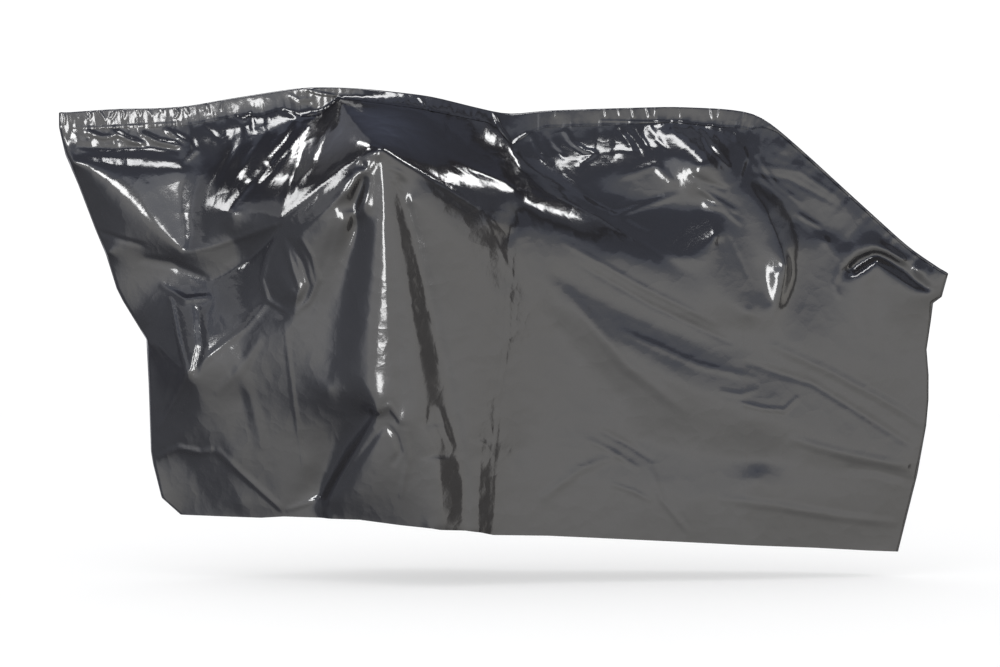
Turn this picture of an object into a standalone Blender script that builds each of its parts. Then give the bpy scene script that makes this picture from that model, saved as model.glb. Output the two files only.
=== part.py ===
"""Bicycle cover of thin plastic film, in the shape in which it hangs over a bicycle.

The cover is a bag: one folded film, closed along its top and both ends and open at the hem,
with a folded heading strip welded over the closed top edge. The bicycle is left out, so the
bag is hollow. X runs from the front wheel's end to the rear end, Y from the near side to the
far side and Z up. The origin is on the underside of the top, halfway along.

The tables below are in centimetres. A height is measured from the underside of the top at
the origin, and a depth is how far the film stands out from the cover's middle plane.
"""

import bpy
import numpy as np
from mathutils.geometry import delaunay_2d_cdt

CM = 0.01

FILM_THICKNESS = 0.15
EDGE_HALF_DEPTH = 0.25
HEADING_THICKNESS = 0.12
HEADING_GAP = 0.06
HEADING_PUCKER = 0.14
HEADING_LIFT = 0.15
SWAY = 2.0
SWAY_LENGTH = 210.0

STATION_STEP = 2.4
EDGE_STEP = 3.0
HEM_STEP = 2.3
FOLD_STEP = 2.7
FILL_STEP = 5.2
CONE_STEP = 2.0
SMALLEST_SPACING = 1.5
FILL_CLEARANCE = 3.2
HEADING_CLEARANCE = 0.9
CREASE_RADIUS = 1.6
FIT_SLACK = 0.12

# Outline of the bag, from the front corner round to the rear hem: (along, height).
TOP_EDGE = [
    (-105.0, 0.5), (-90.5, 1.5), (-82.5, 1.5), (-74.5, 2.0), (-66.5, 3.5), (-54.0, 5.5),
    (-47.0, 6.5), (-39.0, 6.5), (-31.0, 6.0), (-17.5, 4.5), (-7.5, 2.0), (1.0, 0.0),
    (8.5, 1.0), (22.5, 1.5), (39.5, 2.0), (52.0, 1.5), (59.5, 0.5), (64.5, -3.0),
    (73.0, -10.5), (79.5, -16.5), (96.0, -31.5), (105.0, -37.5),
]
FRONT_EDGE = [
    (-105.0, 0.5), (-105.0, -3.0), (-103.5, -9.5), (-100.5, -16.5), (-96.5, -27.0),
    (-94.0, -33.0), (-91.5, -41.0), (-90.0, -44.0), (-84.5, -53.0), (-84.0, -63.5),
    (-83.5, -79.5), (-83.0, -82.5), (-81.0, -90.5), (-76.5, -94.5),
]
REAR_EDGE = [
    (105.0, -37.5), (103.5, -43.0), (101.5, -44.5), (101.0, -48.5), (100.0, -55.5),
    (100.5, -61.5), (100.5, -67.5), (100.0, -73.5), (98.0, -85.0), (93.5, -103.5),
]

# Heading strip: (along, near width, near depth, far width, far depth). Width runs from the
# closed top edge to the weld, and depth is the film's at the weld.
HEADING = [
    (-105.0, 3.8, 0.35, 3.8, 0.35),
    (-96.0, 4.5, 0.5, 4.2, 0.5),
    (-83.5, 4.5, 0.6, 4.2, 0.6),
    (-74.5, 4.5, 0.7, 4.2, 0.8),
    (-63.5, 4.4, 0.9, 4.2, 1.0),
    (-58.5, 5.2, 1.0, 4.2, 1.1),
    (-53.0, 4.5, 1.1, 4.2, 1.2),
    (-48.0, 6.7, 1.3, 4.2, 1.4),
    (-43.5, 6.6, 1.4, 4.2, 1.5),
    (-40.5, 4.5, 1.1, 4.2, 1.6),
    (-38.5, 2.5, 0.9, 4.2, 1.6),
    (-31.0, 3.0, 2.0, 4.2, 1.6),
    (-24.5, 3.2, 3.0, 4.2, 1.5),
    (-15.0, 3.3, 3.0, 4.2, 1.3),
    (-3.5, 2.8, 2.5, 4.2, 1.0),
    (-1.0, 3.8, 2.5, 4.2, 0.9),
    (2.0, 7.3, 2.4, 4.2, 0.9),
    (6.0, 4.8, 1.3, 4.2, 0.9),
    (9.5, 3.9, 0.8, 4.2, 0.8),
    (22.5, 4.0, 0.7, 4.2, 0.7),
    (39.5, 3.6, 0.7, 4.2, 0.7),
    (51.5, 4.3, 0.8, 4.2, 0.7),
    (59.5, 3.8, 0.8, 4.2, 0.7),
    (62.0, 1.8, 0.6, 4.2, 0.7),
    (65.0, 0.6, 0.35, 4.2, 0.7),
    (105.0, 0.6, 0.35, 3.0, 0.35),
]

# Hem of each side, from the front to the rear: (along, height, depth).
NEAR_HEM = [
    (-76.5, -94.5, 0.25), (-67.0, -94.5, 4.0), (-57.0, -94.5, 7.8), (-51.5, -94.0, 9.9),
    (-42.4, -94.0, 13.2), (-41.0, -94.0, 15.6), (-33.5, -94.0, 18.5), (-23.5, -95.0, 22.3),
    (-16.5, -95.5, 25.0), (-14.8, -95.8, 24.9), (-8.8, -96.2, 23.2), (-7.0, -96.5, 22.9), (-5.6, -96.7, 22.3),
    (-2.5, -97.5, 20.6), (10.5, -98.0, 18.0), (34.0, -99.5, 14.8),
    (57.5, -101.0, 11.6), (73.5, -102.0, 7.0), (86.0, -103.0, 3.0), (93.5, -103.5, 0.25),
]
FAR_HEM = [
    (-76.5, -94.5, 0.25), (-65.0, -94.5, 6.0), (-50.5, -94.0, 13.5), (-39.0, -94.0, 19.0),
    (-31.0, -94.5, 23.5), (-20.5, -96.0, 20.5), (-11.5, -96.5, 21.5), (1.5, -97.5, 16.0),
    (22.5, -98.5, 14.5), (46.5, -100.0, 12.5), (70.0, -101.0, 10.0), (86.5, -102.5, 6.0),
    (93.5, -103.5, 0.25),
]

# Folds of the near side. Each row is a fold's name, the radius that rounds its crest, and
# the points that it runs through: (along, height, depth).
NEAR_FOLDS = [
    ("front corner shelf", 0.3,
     (-102.5, -9.5, 1.2), (-88.0, -10.2, 2.2), (-75.5, -11.4, 3.0), (-72.5, -8.0, 3.0)),
    ("foot of corner shelf", 0.3, (-101.5, -11.0, 1.6), (-88.0, -11.8, 3.15), (-76.0, -13.0, 4.0)),
    ("front corner diagonal", 0.3,
     (-102.0, -10.0, 1.5), (-93.0, -16.0, 3.9), (-83.0, -24.5, 6.3), (-75.0, -32.5, 7.4)),
    ("first swag rise", 0.5, (-75.0, -32.5, 7.4), (-62.5, -29.5, 11.6), (-51.5, -25.5, 19.0)),
    ("first swag crown", 1.0, (-75.0, -15.5, 4.5), (-75.0, -23.5, 5.8), (-75.0, -32.5, 7.4)),
    ("tuck under first swag", 0.3,
     (-93.5, -32.5, 1.6), (-86.5, -33.5, 2.9), (-77.0, -35.5, 4.9), (-68.5, -39.0, 7.8)),
    ("tuck rise", 0.3, (-68.5, -39.0, 7.8), (-60.5, -33.5, 11.2), (-52.0, -26.5, 18.2)),
    ("second swag front", 0.3, (-84.5, -53.0, 1.4), (-79.5, -57.0, 5.0), (-74.0, -61.0, 10.8)),
    ("second swag eave", 1.0,
     (-74.0, -61.0, 10.8), (-61.5, -55.0, 13.8), (-50.0, -47.0, 18.8), (-43.0, -37.5, 22.6),
     (-36.5, -28.0, 25.8), (-31.5, -17.5, 28.5), (-29.5, -9.0, 30.0)),
    ("second swag crest", 0.4, (-75.0, -43.5, 6.6), (-74.5, -51.5, 8.6), (-73.5, -60.0, 11.0)),
    ("grip front shoulder", 0.5,
     (-30.0, -8.5, 29.5), (-37.5, -14.5, 26.5), (-45.0, -19.5, 22.6), (-51.5, -25.0, 19.3)),
    ("lower edge of shoulder", 0.5,
     (-30.6, -10.6, 29.4), (-35.8, -18.2, 28.2), (-41.5, -23.2, 25.8), (-47.0, -28.4, 22.7)),
    ("leaf edge", 0.3,
     (-51.5, -26.5, 18.6), (-56.0, -34.5, 15.6), (-57.0, -41.0, 14.8), (-50.0, -47.0, 18.4)),
    ("leaf crest", 1.0, (-50.5, -27.5, 19.8), (-49.0, -35.0, 20.4), (-47.5, -42.0, 20.8)),
    ("front roof pleat", 1.0,
     (-48.0, -4.5, 5.5), (-55.0, -10.5, 9.5), (-59.5, -16.0, 12.0), (-63.5, -23.0, 13.0)),
    ("roof to grip", 0.5, (-39.0, 3.5, 1.4), (-30.0, -8.0, 30.0)),
    ("grip rear eave", 0.3, (-28.0, -8.0, 30.0), (-17.0, -15.0, 26.5), (-5.5, -22.0, 22.5)),
    ("rear roof pleat", 1.0,
     (-17.0, -6.5, 15.0), (-10.0, -10.5, 16.0), (-3.5, -14.5, 16.0), (2.5, -17.5, 15.0)),
    ("eave upper fork", 0.4, (-5.5, -22.0, 22.5), (-1.0, -23.0, 20.5), (2.5, -23.5, 18.0)),
    ("eave lower fork", 0.4, (-5.5, -22.0, 22.5), (-1.5, -25.0, 21.6), (1.5, -28.0, 19.8)),
    ("grip plumb ridge", 0.7,
     (-27.5, -8.5, 30.0), (-26.7, -20.0, 30.0), (-26.0, -36.0, 29.6), (-25.3, -52.0, 28.8),
     (-23.8, -70.0, 28.0), (-19.5, -82.0, 26.4), (-16.5, -93.0, 25.1)),
    ("fan ridge", 0.6,
     (-28.9, -11.4, 29.6), (-29.8, -23.3, 28.9), (-30.5, -35.9, 28.4), (-31.0, -49.7, 27.9),
     (-31.2, -63.5, 27.4), (-29.4, -68.5, 27.4)),
    ("fan hollow", 0.8,
     (-32.1, -12.0, 28.2), (-34.2, -23.3, 25.8), (-36.4, -36.0, 24.3), (-38.5, -49.8, 23.2),
     (-40.6, -63.7, 22.2)),
    ("rounded tuck", 0.3,
     (-41.0, -89.5, 16.4), (-34.6, -78.0, 21.8), (-28.6, -69.2, 26.3), (-26.5, -69.0, 27.1),
     (-23.5, -71.0, 27.5)),
    ("foot of rounded tuck", 0.3, (-42.4, -88.8, 13.4), (-36.4, -77.4, 18.8), (-30.8, -68.9, 24.2)),
    ("strip behind ridge", 0.4,
     (-26.6, -11.8, 29.7), (-25.4, -19.8, 29.5), (-23.8, -29.0, 29.2), (-21.8, -42.8, 28.6),
     (-20.2, -54.2, 28.1), (-18.4, -65.7, 27.6), (-17.5, -74.9, 27.0), (-16.3, -84.1, 25.9)),
    ("trough behind ridge", 0.4,
     (-23.6, -15.7, 28.6), (-22.0, -21.0, 28.0), (-20.2, -29.0, 27.3), (-16.8, -42.8, 26.0),
     (-14.3, -54.4, 25.3), (-11.8, -65.9, 24.7), (-9.7, -75.2, 24.2), (-9.0, -84.4, 23.6),
     (-8.8, -93.7, 23.2)),
    ("long pleat", 0.4,
     (-25.2, -13.4, 29.5), (-20.9, -21.0, 28.5), (-18.6, -29.0, 27.6), (-15.4, -42.8, 26.1),
     (-12.7, -54.4, 25.3), (-10.4, -65.9, 24.7), (-8.8, -75.1, 24.3), (-7.9, -84.4, 23.4),
     (-7.6, -93.7, 23.0)),
    ("side of middle", 0.4,
     (-6.0, -78.7, 22.9), (-5.8, -86.8, 22.6), (-5.6, -94.2, 22.3)),
    ("middle ridge", 0.6,
     (1.0, -43.0, 21.5), (0.6, -54.5, 21.5), (-1.0, -66.0, 21.6), (-1.7, -78.0, 21.5),
     (-2.6, -95.0, 21.0)),
    ("saddle valley", 0.4,
     (2.0, -8.0, 3.0), (3.5, -13.0, 6.6), (9.5, -17.0, 8.2), (22.5, -23.5, 9.6),
     (31.5, -30.0, 11.4), (37.5, -33.5, 12.0)),
    ("lip under valley", 1.0,
     (7.0, -21.5, 15.2), (22.5, -29.0, 13.2), (31.5, -33.5, 13.0), (37.5, -36.5, 12.8)),
    ("saddle side", 1.0, (13.0, -13.0, 4.7), (22.5, -13.2, 5.3), (34.0, -12.6, 5.4), (44.0, -12.0, 5.2)),
    ("saddle face", 1.5, (24.0, -19.5, 7.2), (34.0, -21.0, 6.8), (46.0, -21.5, 7.0)),
    ("saddle crease", 0.5, (39.0, -4.0, 2.6), (42.5, -7.0, 5.5), (47.0, -11.5, 8.5)),
    ("dip behind valley", 0.4, (38.5, -29.5, 10.3), (43.5, -29.5, 10.2), (48.0, -28.0, 9.8)),
    ("dip lip", 0.3,
     (38.0, -33.5, 12.0), (43.5, -33.9, 12.0), (47.0, -32.3, 11.5), (49.3, -28.5, 10.4)),
    ("rear ridge", 0.5, (38.0, -33.5, 12.0), (48.0, -40.0, 12.2), (57.5, -46.5, 11.2)),
    ("tongue rear edge", 0.3,
     (54.0, -12.0, 5.0), (61.5, -22.5, 7.0), (65.0, -31.5, 8.8), (65.6, -35.4, 10.0),
     (65.2, -39.0, 10.1), (63.0, -44.8, 9.7), (57.5, -46.5, 11.0)),
    ("tongue plate", 0.3, (61.0, -35.3, 8.8), (62.0, -40.0, 9.2), (63.0, -44.6, 9.6)),
    ("top of tongue plate", 0.3, (61.0, -35.3, 8.8), (65.6, -35.4, 10.0)),
    ("foot of tongue", 0.5,
     (57.0, -11.5, 3.6), (63.8, -21.8, 4.8), (67.2, -31.2, 6.2), (67.8, -38.2, 7.0),
     (65.0, -46.5, 8.6)),
    ("tongue face", 1.0, (53.0, -21.0, 7.2), (57.5, -28.0, 8.2), (59.6, -34.0, 8.9)),
    ("tongue front edge", 0.4, (49.5, -28.5, 9.8), (53.5, -37.0, 10.6), (57.5, -46.0, 11.0)),
    ("rear roof hollow", 0.8, (59.0, -16.5, 5.0), (66.5, -18.0, 2.8)),
    ("rear roof edge", 0.3,
     (65.0, -7.4, 1.2), (71.8, -13.6, 1.1), (78.8, -19.9, 1.1), (88.8, -28.9, 1.0),
     (96.8, -35.3, 0.9)),
    ("rear roof ledge", 0.8, (68.0, -25.0, 4.0), (75.0, -27.5, 2.6), (81.0, -30.0, 2.2)),
    ("corner tuck upper lip", 0.3,
     (81.2, -35.1, 3.4), (83.1, -33.0, 3.0), (87.8, -31.4, 2.5), (91.2, -32.5, 2.3),
     (94.8, -34.4, 2.1), (97.4, -36.3, 1.8), (100.6, -39.9, 1.2)),
    ("corner tuck slot", 0.3,
     (82.3, -36.3, 2.0), (84.2, -34.5, 1.5), (88.0, -32.8, 1.2), (90.9, -34.0, 1.0),
     (94.2, -36.1, 0.9), (96.8, -38.5, 0.8), (99.7, -40.9, 0.7)),
    ("corner tuck lower lip", 0.3,
     (80.1, -39.5, 4.6), (83.9, -37.0, 4.1), (87.7, -34.6, 3.4), (90.6, -36.8, 3.1),
     (94.0, -39.1, 2.6), (97.4, -41.3, 2.0), (100.6, -42.0, 1.2)),
    ("rear corner facet", 0.4, (75.5, -28.0, 3.0), (76.0, -34.5, 3.8), (80.0, -40.2, 4.4)),
    ("ridge under tuck", 0.6, (87.5, -36.0, 3.9), (88.0, -45.0, 3.6), (88.0, -56.0, 3.6)),
    ("upper long fold", 1.5,
     (13.0, -29.5, 16.4), (27.0, -36.5, 14.2), (45.5, -46.0, 12.6), (69.0, -54.0, 8.6),
     (88.0, -60.0, 3.8)),
    ("long hollow", 0.6,
     (13.0, -38.0, 17.0), (27.0, -46.0, 14.6), (41.0, -51.5, 12.8), (55.0, -57.0, 11.3),
     (69.0, -62.0, 8.6), (81.0, -67.5, 5.6), (94.5, -77.0, 1.6)),
    ("long fold", 1.2,
     (3.0, -28.5, 19.8), (13.0, -42.0, 17.9), (22.5, -51.5, 17.0), (41.0, -62.0, 15.2),
     (59.5, -71.0, 12.2), (81.0, -78.5, 6.4), (93.5, -81.5, 2.2)),
    ("hollow beside middle", 1.0, (3.0, -36.0, 20.4), (13.0, -50.0, 17.2), (27.0, -65.5, 15.2)),
    ("low hollow", 1.0,
     (31.5, -76.0, 14.5), (45.5, -79.5, 13.3), (69.0, -82.5, 9.3), (88.0, -85.0, 3.8),
     (96.0, -86.0, 1.0)),
    ("hem hollow", 1.2, (59.5, -85.5, 12.0), (74.0, -90.0, 8.0), (88.0, -93.5, 3.2)),
    ("low middle", 1.5, (3.5, -78.0, 19.4), (22.5, -82.5, 16.4), (45.5, -90.0, 14.0)),
    ("wheel crease", 0.5, (-67.0, -78.5, 7.7), (-63.5, -85.5, 7.5), (-51.5, -91.5, 10.6)),
    ("wheel crease rise", 0.5, (-51.5, -91.5, 10.6), (-49.0, -87.0, 12.2), (-46.0, -81.5, 14.2)),
    ("wheel crease to tuck", 0.4, (-51.5, -91.5, 10.6), (-43.4, -89.5, 13.0)),
    ("wheel face", 1.5, (-61.5, -66.5, 11.9), (-62.5, -76.0, 10.0), (-64.0, -80.5, 8.8)),
    ("tyre shoulder", 0.8,
     (-62.5, -61.5, 13.2), (-70.0, -67.0, 9.8), (-74.0, -73.0, 6.4), (-81.0, -79.0, 1.6)),
    ("tyre crease", 0.3, (-81.5, -81.0, 1.0), (-75.0, -81.5, 3.3), (-70.0, -81.0, 5.7)),
    ("tyre front", 1.0, (-79.0, -88.5, 0.8), (-71.5, -89.5, 3.0), (-61.5, -91.0, 7.2)),
]

# Folds of the far side, in the same columns. It hangs a little plainer.
FAR_FOLDS = [
    ("roof to grip", 1.0, (-38.5, 1.0, 2.4), (-31.5, -9.0, 28.0)),
    ("front eave", 1.5,
     (-31.5, -9.0, 28.0), (-46.0, -20.0, 21.0), (-62.5, -35.0, 14.0), (-76.5, -44.0, 8.5),
     (-88.0, -46.5, 1.4)),
    ("front swag", 0.8,
     (-82.5, -58.5, 1.8), (-70.5, -65.5, 11.5), (-57.0, -53.0, 17.0), (-41.0, -29.5, 24.5)),
    ("front upper swag", 1.0,
     (-100.5, -12.0, 1.4), (-83.5, -23.5, 7.0), (-70.5, -27.5, 10.5), (-53.0, -17.5, 15.5)),
    ("rear eave", 1.5,
     (-31.5, -9.0, 28.0), (-13.0, -20.0, 21.0), (6.0, -26.0, 15.0), (27.5, -29.5, 12.0),
     (51.0, -35.5, 10.0), (77.0, -44.0, 7.0), (98.0, -54.0, 1.6)),
    ("grip plumb ridge", 0.6,
     (-31.5, -9.5, 28.0), (-32.5, -44.0, 27.0), (-31.0, -72.0, 26.0), (-32.0, -92.0, 24.5)),
    ("hollow behind ridge", 1.5,
     (-30.0, -17.5, 27.0), (-24.5, -44.0, 23.5), (-22.0, -72.0, 22.0), (-20.5, -92.0, 21.0)),
    ("pleat behind ridge", 0.8,
     (-30.5, -13.5, 27.5), (-17.5, -44.0, 25.0), (-12.5, -72.0, 24.0), (-10.5, -93.5, 22.5)),
    ("hollow ahead of ridge", 1.5,
     (-33.5, -17.5, 27.0), (-41.0, -44.0, 23.0), (-44.0, -72.0, 21.0), (-45.5, -91.0, 19.0)),
    ("pleat ahead of ridge", 1.0,
     (-36.5, -17.5, 26.5), (-49.0, -44.0, 22.0), (-55.0, -72.0, 18.5), (-57.0, -91.0, 16.5)),
    ("middle hollow", 1.5, (-8.0, -34.5, 19.5), (-1.0, -67.5, 17.0), (1.5, -94.5, 16.0)),
    ("long rear fold", 1.5,
     (6.0, -29.5, 16.0), (32.0, -53.0, 14.0), (60.5, -67.5, 12.0), (94.0, -80.0, 3.0)),
    ("long rear hollow", 1.5,
     (4.0, -41.5, 15.0), (27.5, -67.5, 12.5), (60.5, -81.5, 10.5), (88.0, -91.0, 4.0)),
    ("saddle shoulder", 2.0, (22.5, -9.0, 5.5), (34.5, -8.0, 6.5), (48.5, -9.0, 6.5)),
    ("saddle swag", 1.2,
     (6.0, -10.0, 5.0), (20.5, -19.0, 9.0), (34.5, -24.5, 11.0), (51.0, -22.0, 9.0),
     (66.0, -19.0, 6.0)),
    ("rear facet", 1.5, (61.5, -10.5, 5.0), (70.0, -27.0, 8.5), (79.5, -41.5, 8.0)),
    ("front wheel side", 2.0, (-80.0, -72.0, 3.5), (-72.0, -77.0, 7.5), (-63.5, -81.5, 11.0)),
    ("rear low", 2.5, (22.5, -86.5, 15.0), (46.5, -91.0, 13.0), (70.0, -93.5, 10.5)),
]

# The film's closed top edge sits this far inside the outline, under the heading strip.
TOP_INSET = HEADING_GAP + HEADING_THICKNESS
# This lift of every height brings the underside of the top to the origin.
UNDERSIDE = -0.14


def spaced(points, step):
    """The polyline's points again, evenly spaced about one step apart along it."""
    points = np.array(points, float)
    runs = np.hypot(np.diff(points[:, 0]), np.diff(points[:, 1]))
    reached = np.concatenate([[0.0], np.cumsum(runs)])
    count = max(2, int(round(reached[-1] / step)) + 1)
    wanted = np.linspace(0.0, reached[-1], count)
    return np.stack([np.interp(wanted, reached, column) for column in points.T], axis=1)


def softened(points, passes=2):
    """The polyline with its corners eased and its ends kept: each point moves halfway to the
    middle of its two neighbours."""
    points = points.copy()
    for _ in range(passes):
        points[1:-1] = 0.5 * points[1:-1] + 0.25 * (points[:-2] + points[2:])
    return points


def apart(points, others, distance):
    """True for each point that is further than the distance from every other point."""
    gaps = np.hypot(
        points[:, None, 0] - others[None, :, 0], points[:, None, 1] - others[None, :, 1]
    )
    return gaps.min(axis=1) > distance


def thinned(points, distance):
    """The points in order, without any that comes too near one kept before it."""
    kept = points[:1]
    for point in points[1:]:
        if apart(point[None, :], kept, distance)[0]:
            kept = np.concatenate([kept, point[None, :]])
    return kept


def inside(points, outline):
    """True for each point inside the closed outline, by counting the edges that it looks past."""
    x, z = points[:, None, 0], points[:, None, 1]
    ax, az = outline[None, :, 0], outline[None, :, 1]
    bx, bz = np.roll(ax, -1, axis=1), np.roll(az, -1, axis=1)
    spans = (az > z) != (bz > z)
    rise = np.where(spans, bz - az, 1.0)
    crossing = ax + (z - az) * (bx - ax) / rise
    return (spans & (x < crossing)).sum(axis=1) % 2 == 1


def inward_of(chain):
    """Unit directions square to the chain, on its right-hand side as it is walked."""
    along = np.gradient(chain, axis=0)
    along /= np.linalg.norm(along, axis=1, keepdims=True)
    return np.stack([along[:, 1], -along[:, 0]], axis=1)


class Drape:
    """One side of the film, as a depth at each place (x, z) of the cover's middle plane.

    The depth is a sum of rounded cones, one on each sample of each fold, and a plane:
    depth(p) = sum of w * sqrt(|p - q|^2 + r^2) + a + b x + c z, where q is the sample, r its
    fold's radius and w its weight. The weights make the film pass through every sample, so
    it is stretched between the folds and bends along them.
    """

    def __init__(self, folds, edges, hem):
        rows = []
        for fold in folds:
            line = spaced(fold[2:], CONE_STEP)
            rows.append(np.column_stack([line, np.full(len(line), fold[1])]))
        closed = spaced(edges, EDGE_STEP)
        rows.append(
            np.column_stack(
                [closed, np.full(len(closed), EDGE_HALF_DEPTH), np.full(len(closed), 0.3)]
            )
        )
        open_edge = spaced(hem, CONE_STEP)
        rows.append(np.column_stack([open_edge, np.full(len(open_edge), 1.0)]))
        samples = thinned(np.concatenate(rows), 0.6)
        self.places = samples[:, :2]
        self.radii = samples[:, 3]
        count = len(samples)
        cones = self.cones(self.places) - FIT_SLACK * np.eye(count)
        plane = self.plane(self.places)
        system = np.block([[cones, plane], [plane.T, np.zeros((3, 3))]])
        self.weights = np.linalg.solve(system, np.concatenate([samples[:, 2], np.zeros(3)]))

    def cones(self, points):
        across = points[:, None, 0] - self.places[None, :, 0]
        up = points[:, None, 1] - self.places[None, :, 1]
        return np.sqrt(across**2 + up**2 + self.radii[None, :] ** 2)

    def plane(self, points):
        return np.column_stack([np.ones(len(points)), points / 100.0])

    def depth(self, points):
        terms = np.concatenate([self.cones(points), self.plane(points)], axis=1)
        return terms @ self.weights

    def slope(self, points):
        """How much the depth changes for each centimetre along the film's steepest way."""
        reach = 0.4
        east, north = np.array([reach, 0.0]), np.array([0.0, reach])
        across = self.depth(points + east) - self.depth(points - east)
        up = self.depth(points + north) - self.depth(points - north)
        return np.hypot(across, up) / (2.0 * reach)


def top_stations():
    """Evenly spaced points along the film's closed top edge, with one more close to each end
    where the heading strip starts and stops."""
    line = softened(spaced(TOP_EDGE, STATION_STEP))
    line[1:-1] += TOP_INSET * inward_of(line)[1:-1]
    near_end = 0.25
    first = line[0] + near_end * (line[1] - line[0])
    last = line[-1] + near_end * (line[-2] - line[-1])
    return np.concatenate([line[:1], [first], line[1:-1], [last], line[-1:]])


def heading_line(stations, width_column):
    """The weld on one side: each station carried down by the heading's width there."""
    table = np.array(HEADING)
    widths = np.interp(stations[:, 0], table[:, 0], table[:, width_column])
    depths = np.interp(stations[:, 0], table[:, 0], table[:, width_column + 1])
    down = inward_of(softened(stations, passes=6))
    return stations + down * widths[:, None], widths, depths


def crease_edges(line, points, outline_count):
    """Edges along a crease, between the mesh points nearest to its samples. A stretch whose
    points were thinned away, or that lies in the outline itself, is left out."""
    gaps = np.hypot(
        line[:, None, 0] - points[None, :, 0], line[:, None, 1] - points[None, :, 1]
    )
    nearest = gaps.argmin(axis=1)
    close = gaps.min(axis=1) < SMALLEST_SPACING
    edges = []
    for i in range(len(line) - 1):
        a, b = int(nearest[i]), int(nearest[i + 1])
        if close[i] and close[i + 1] and a != b and max(a, b) >= outline_count:
            edges.append((a, b))
    return edges


def triangulated(points, edges):
    """Delaunay triangles that keep the edges, over the points and any place where two of the
    edges cross, which is added at the end of the points."""
    result = delaunay_2d_cdt([tuple(p) for p in points], edges, [], 1, 1e-5)
    numbers = []
    crossings = []
    for place, given in zip(result[0], result[3]):
        if given:
            numbers.append(given[0])
        else:
            numbers.append(len(points) + len(crossings))
            crossings.append(tuple(place))
    triangles = np.array([[numbers[v] for v in face] for face in result[2]])
    return np.array([*map(tuple, points), *crossings]), triangles


def side_mesh(stations, front, rear, hem, folds, width_column):
    """One side of the film: its points (x, z), their depths and slopes, its triangles, and
    how many points belong to the closed edge and to the hem."""
    welds, widths, weld_depths = heading_line(stations, width_column)
    welds, widths, weld_depths = welds[1:-1], widths[1:-1], weld_depths[1:-1]
    closed_edge = np.concatenate([front[::-1][:-1], stations, rear[1:]])
    hem_line = spaced(hem, HEM_STEP)[::-1][1:-1]
    outline = np.concatenate([closed_edge, hem_line[:, :2]])
    weld_fold = ("weld", 0.3, *np.column_stack([welds, weld_depths]))
    drape = Drape([weld_fold, *folds], closed_edge, hem)

    on_folds = np.concatenate([spaced(fold[2:], FOLD_STEP) for fold in folds])[:, :2]
    on_folds = thinned(on_folds, SMALLEST_SPACING)
    reach = np.hypot(
        on_folds[:, None, 0] - stations[None, 1:-1, 0],
        on_folds[:, None, 1] - stations[None, 1:-1, 1],
    )
    below_heading = (reach - widths[None, :]).min(axis=1) > HEADING_CLEARANCE
    fixed = np.concatenate([outline, welds])
    keep = below_heading & inside(on_folds, outline) & apart(on_folds, fixed, SMALLEST_SPACING)
    on_folds = on_folds[keep]

    low, high = outline.min(axis=0), outline.max(axis=0)
    rows = np.arange(low[1], high[1], FILL_STEP * np.sqrt(0.75))
    columns = np.arange(low[0], high[0], FILL_STEP)
    fill_x, fill_z = np.meshgrid(columns, rows)
    fill_x[1::2] += 0.5 * FILL_STEP
    fill = np.column_stack([fill_x.ravel(), fill_z.ravel()])
    reach = np.hypot(
        fill[:, None, 0] - stations[None, 1:-1, 0], fill[:, None, 1] - stations[None, 1:-1, 1]
    )
    below_heading = (reach - widths[None, :]).min(axis=1) > HEADING_CLEARANCE
    others = np.concatenate([fixed, on_folds])
    fill = fill[below_heading & inside(fill, outline) & apart(fill, others, FILL_CLEARANCE)]

    points = np.concatenate([outline, welds, on_folds, fill])
    count = len(outline)
    edges = [(i, (i + 1) % count) for i in range(count)]
    first_station = len(front)
    for i in range(len(welds)):
        edges.append((first_station + i, count + i))
        if i + 1 < len(welds):
            edges.append((count + i, count + i + 1))
            edges.append((first_station + i, count + i + 1))
    for fold in folds:
        if fold[1] <= CREASE_RADIUS:
            edges += crease_edges(spaced(fold[2:], FOLD_STEP)[:, :2], points[: -len(fill)], count)
    points, triangles = triangulated(points, edges)
    a, b, c = (points[triangles[:, k]] for k in range(3))
    turn = (b[:, 0] - a[:, 0]) * (c[:, 1] - a[:, 1]) - (b[:, 1] - a[:, 1]) * (c[:, 0] - a[:, 0])
    triangles[turn < 0] = triangles[turn < 0][:, ::-1]

    depths = np.maximum(drape.depth(points), EDGE_HALF_DEPTH)
    depths[: len(closed_edge)] = EDGE_HALF_DEPTH
    depths[len(closed_edge) : count] = hem_line[:, 2]
    depths[count : count + len(welds)] = weld_depths
    slopes = drape.slope(points)
    slopes[: len(closed_edge)] = 0.0
    return points, depths, slopes, triangles, len(closed_edge), count


def placed(points, depths, side):
    """World positions in metres: side is -1 for the near side and 1 for the far side."""
    sway = SWAY * np.sin(2.0 * np.pi * points[:, 0] / SWAY_LENGTH)
    return CM * np.column_stack([points[:, 0], sway + side * depths, points[:, 1] + UNDERSIDE])


def strip_faces(first, second, closed):
    """Quads between two chains of vertex numbers that run side by side."""
    last = len(first) if closed else len(first) - 1
    faces = []
    for i in range(last):
        j = (i + 1) % len(first)
        faces.append((first[i], first[j], second[j], second[i]))
    return faces


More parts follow.
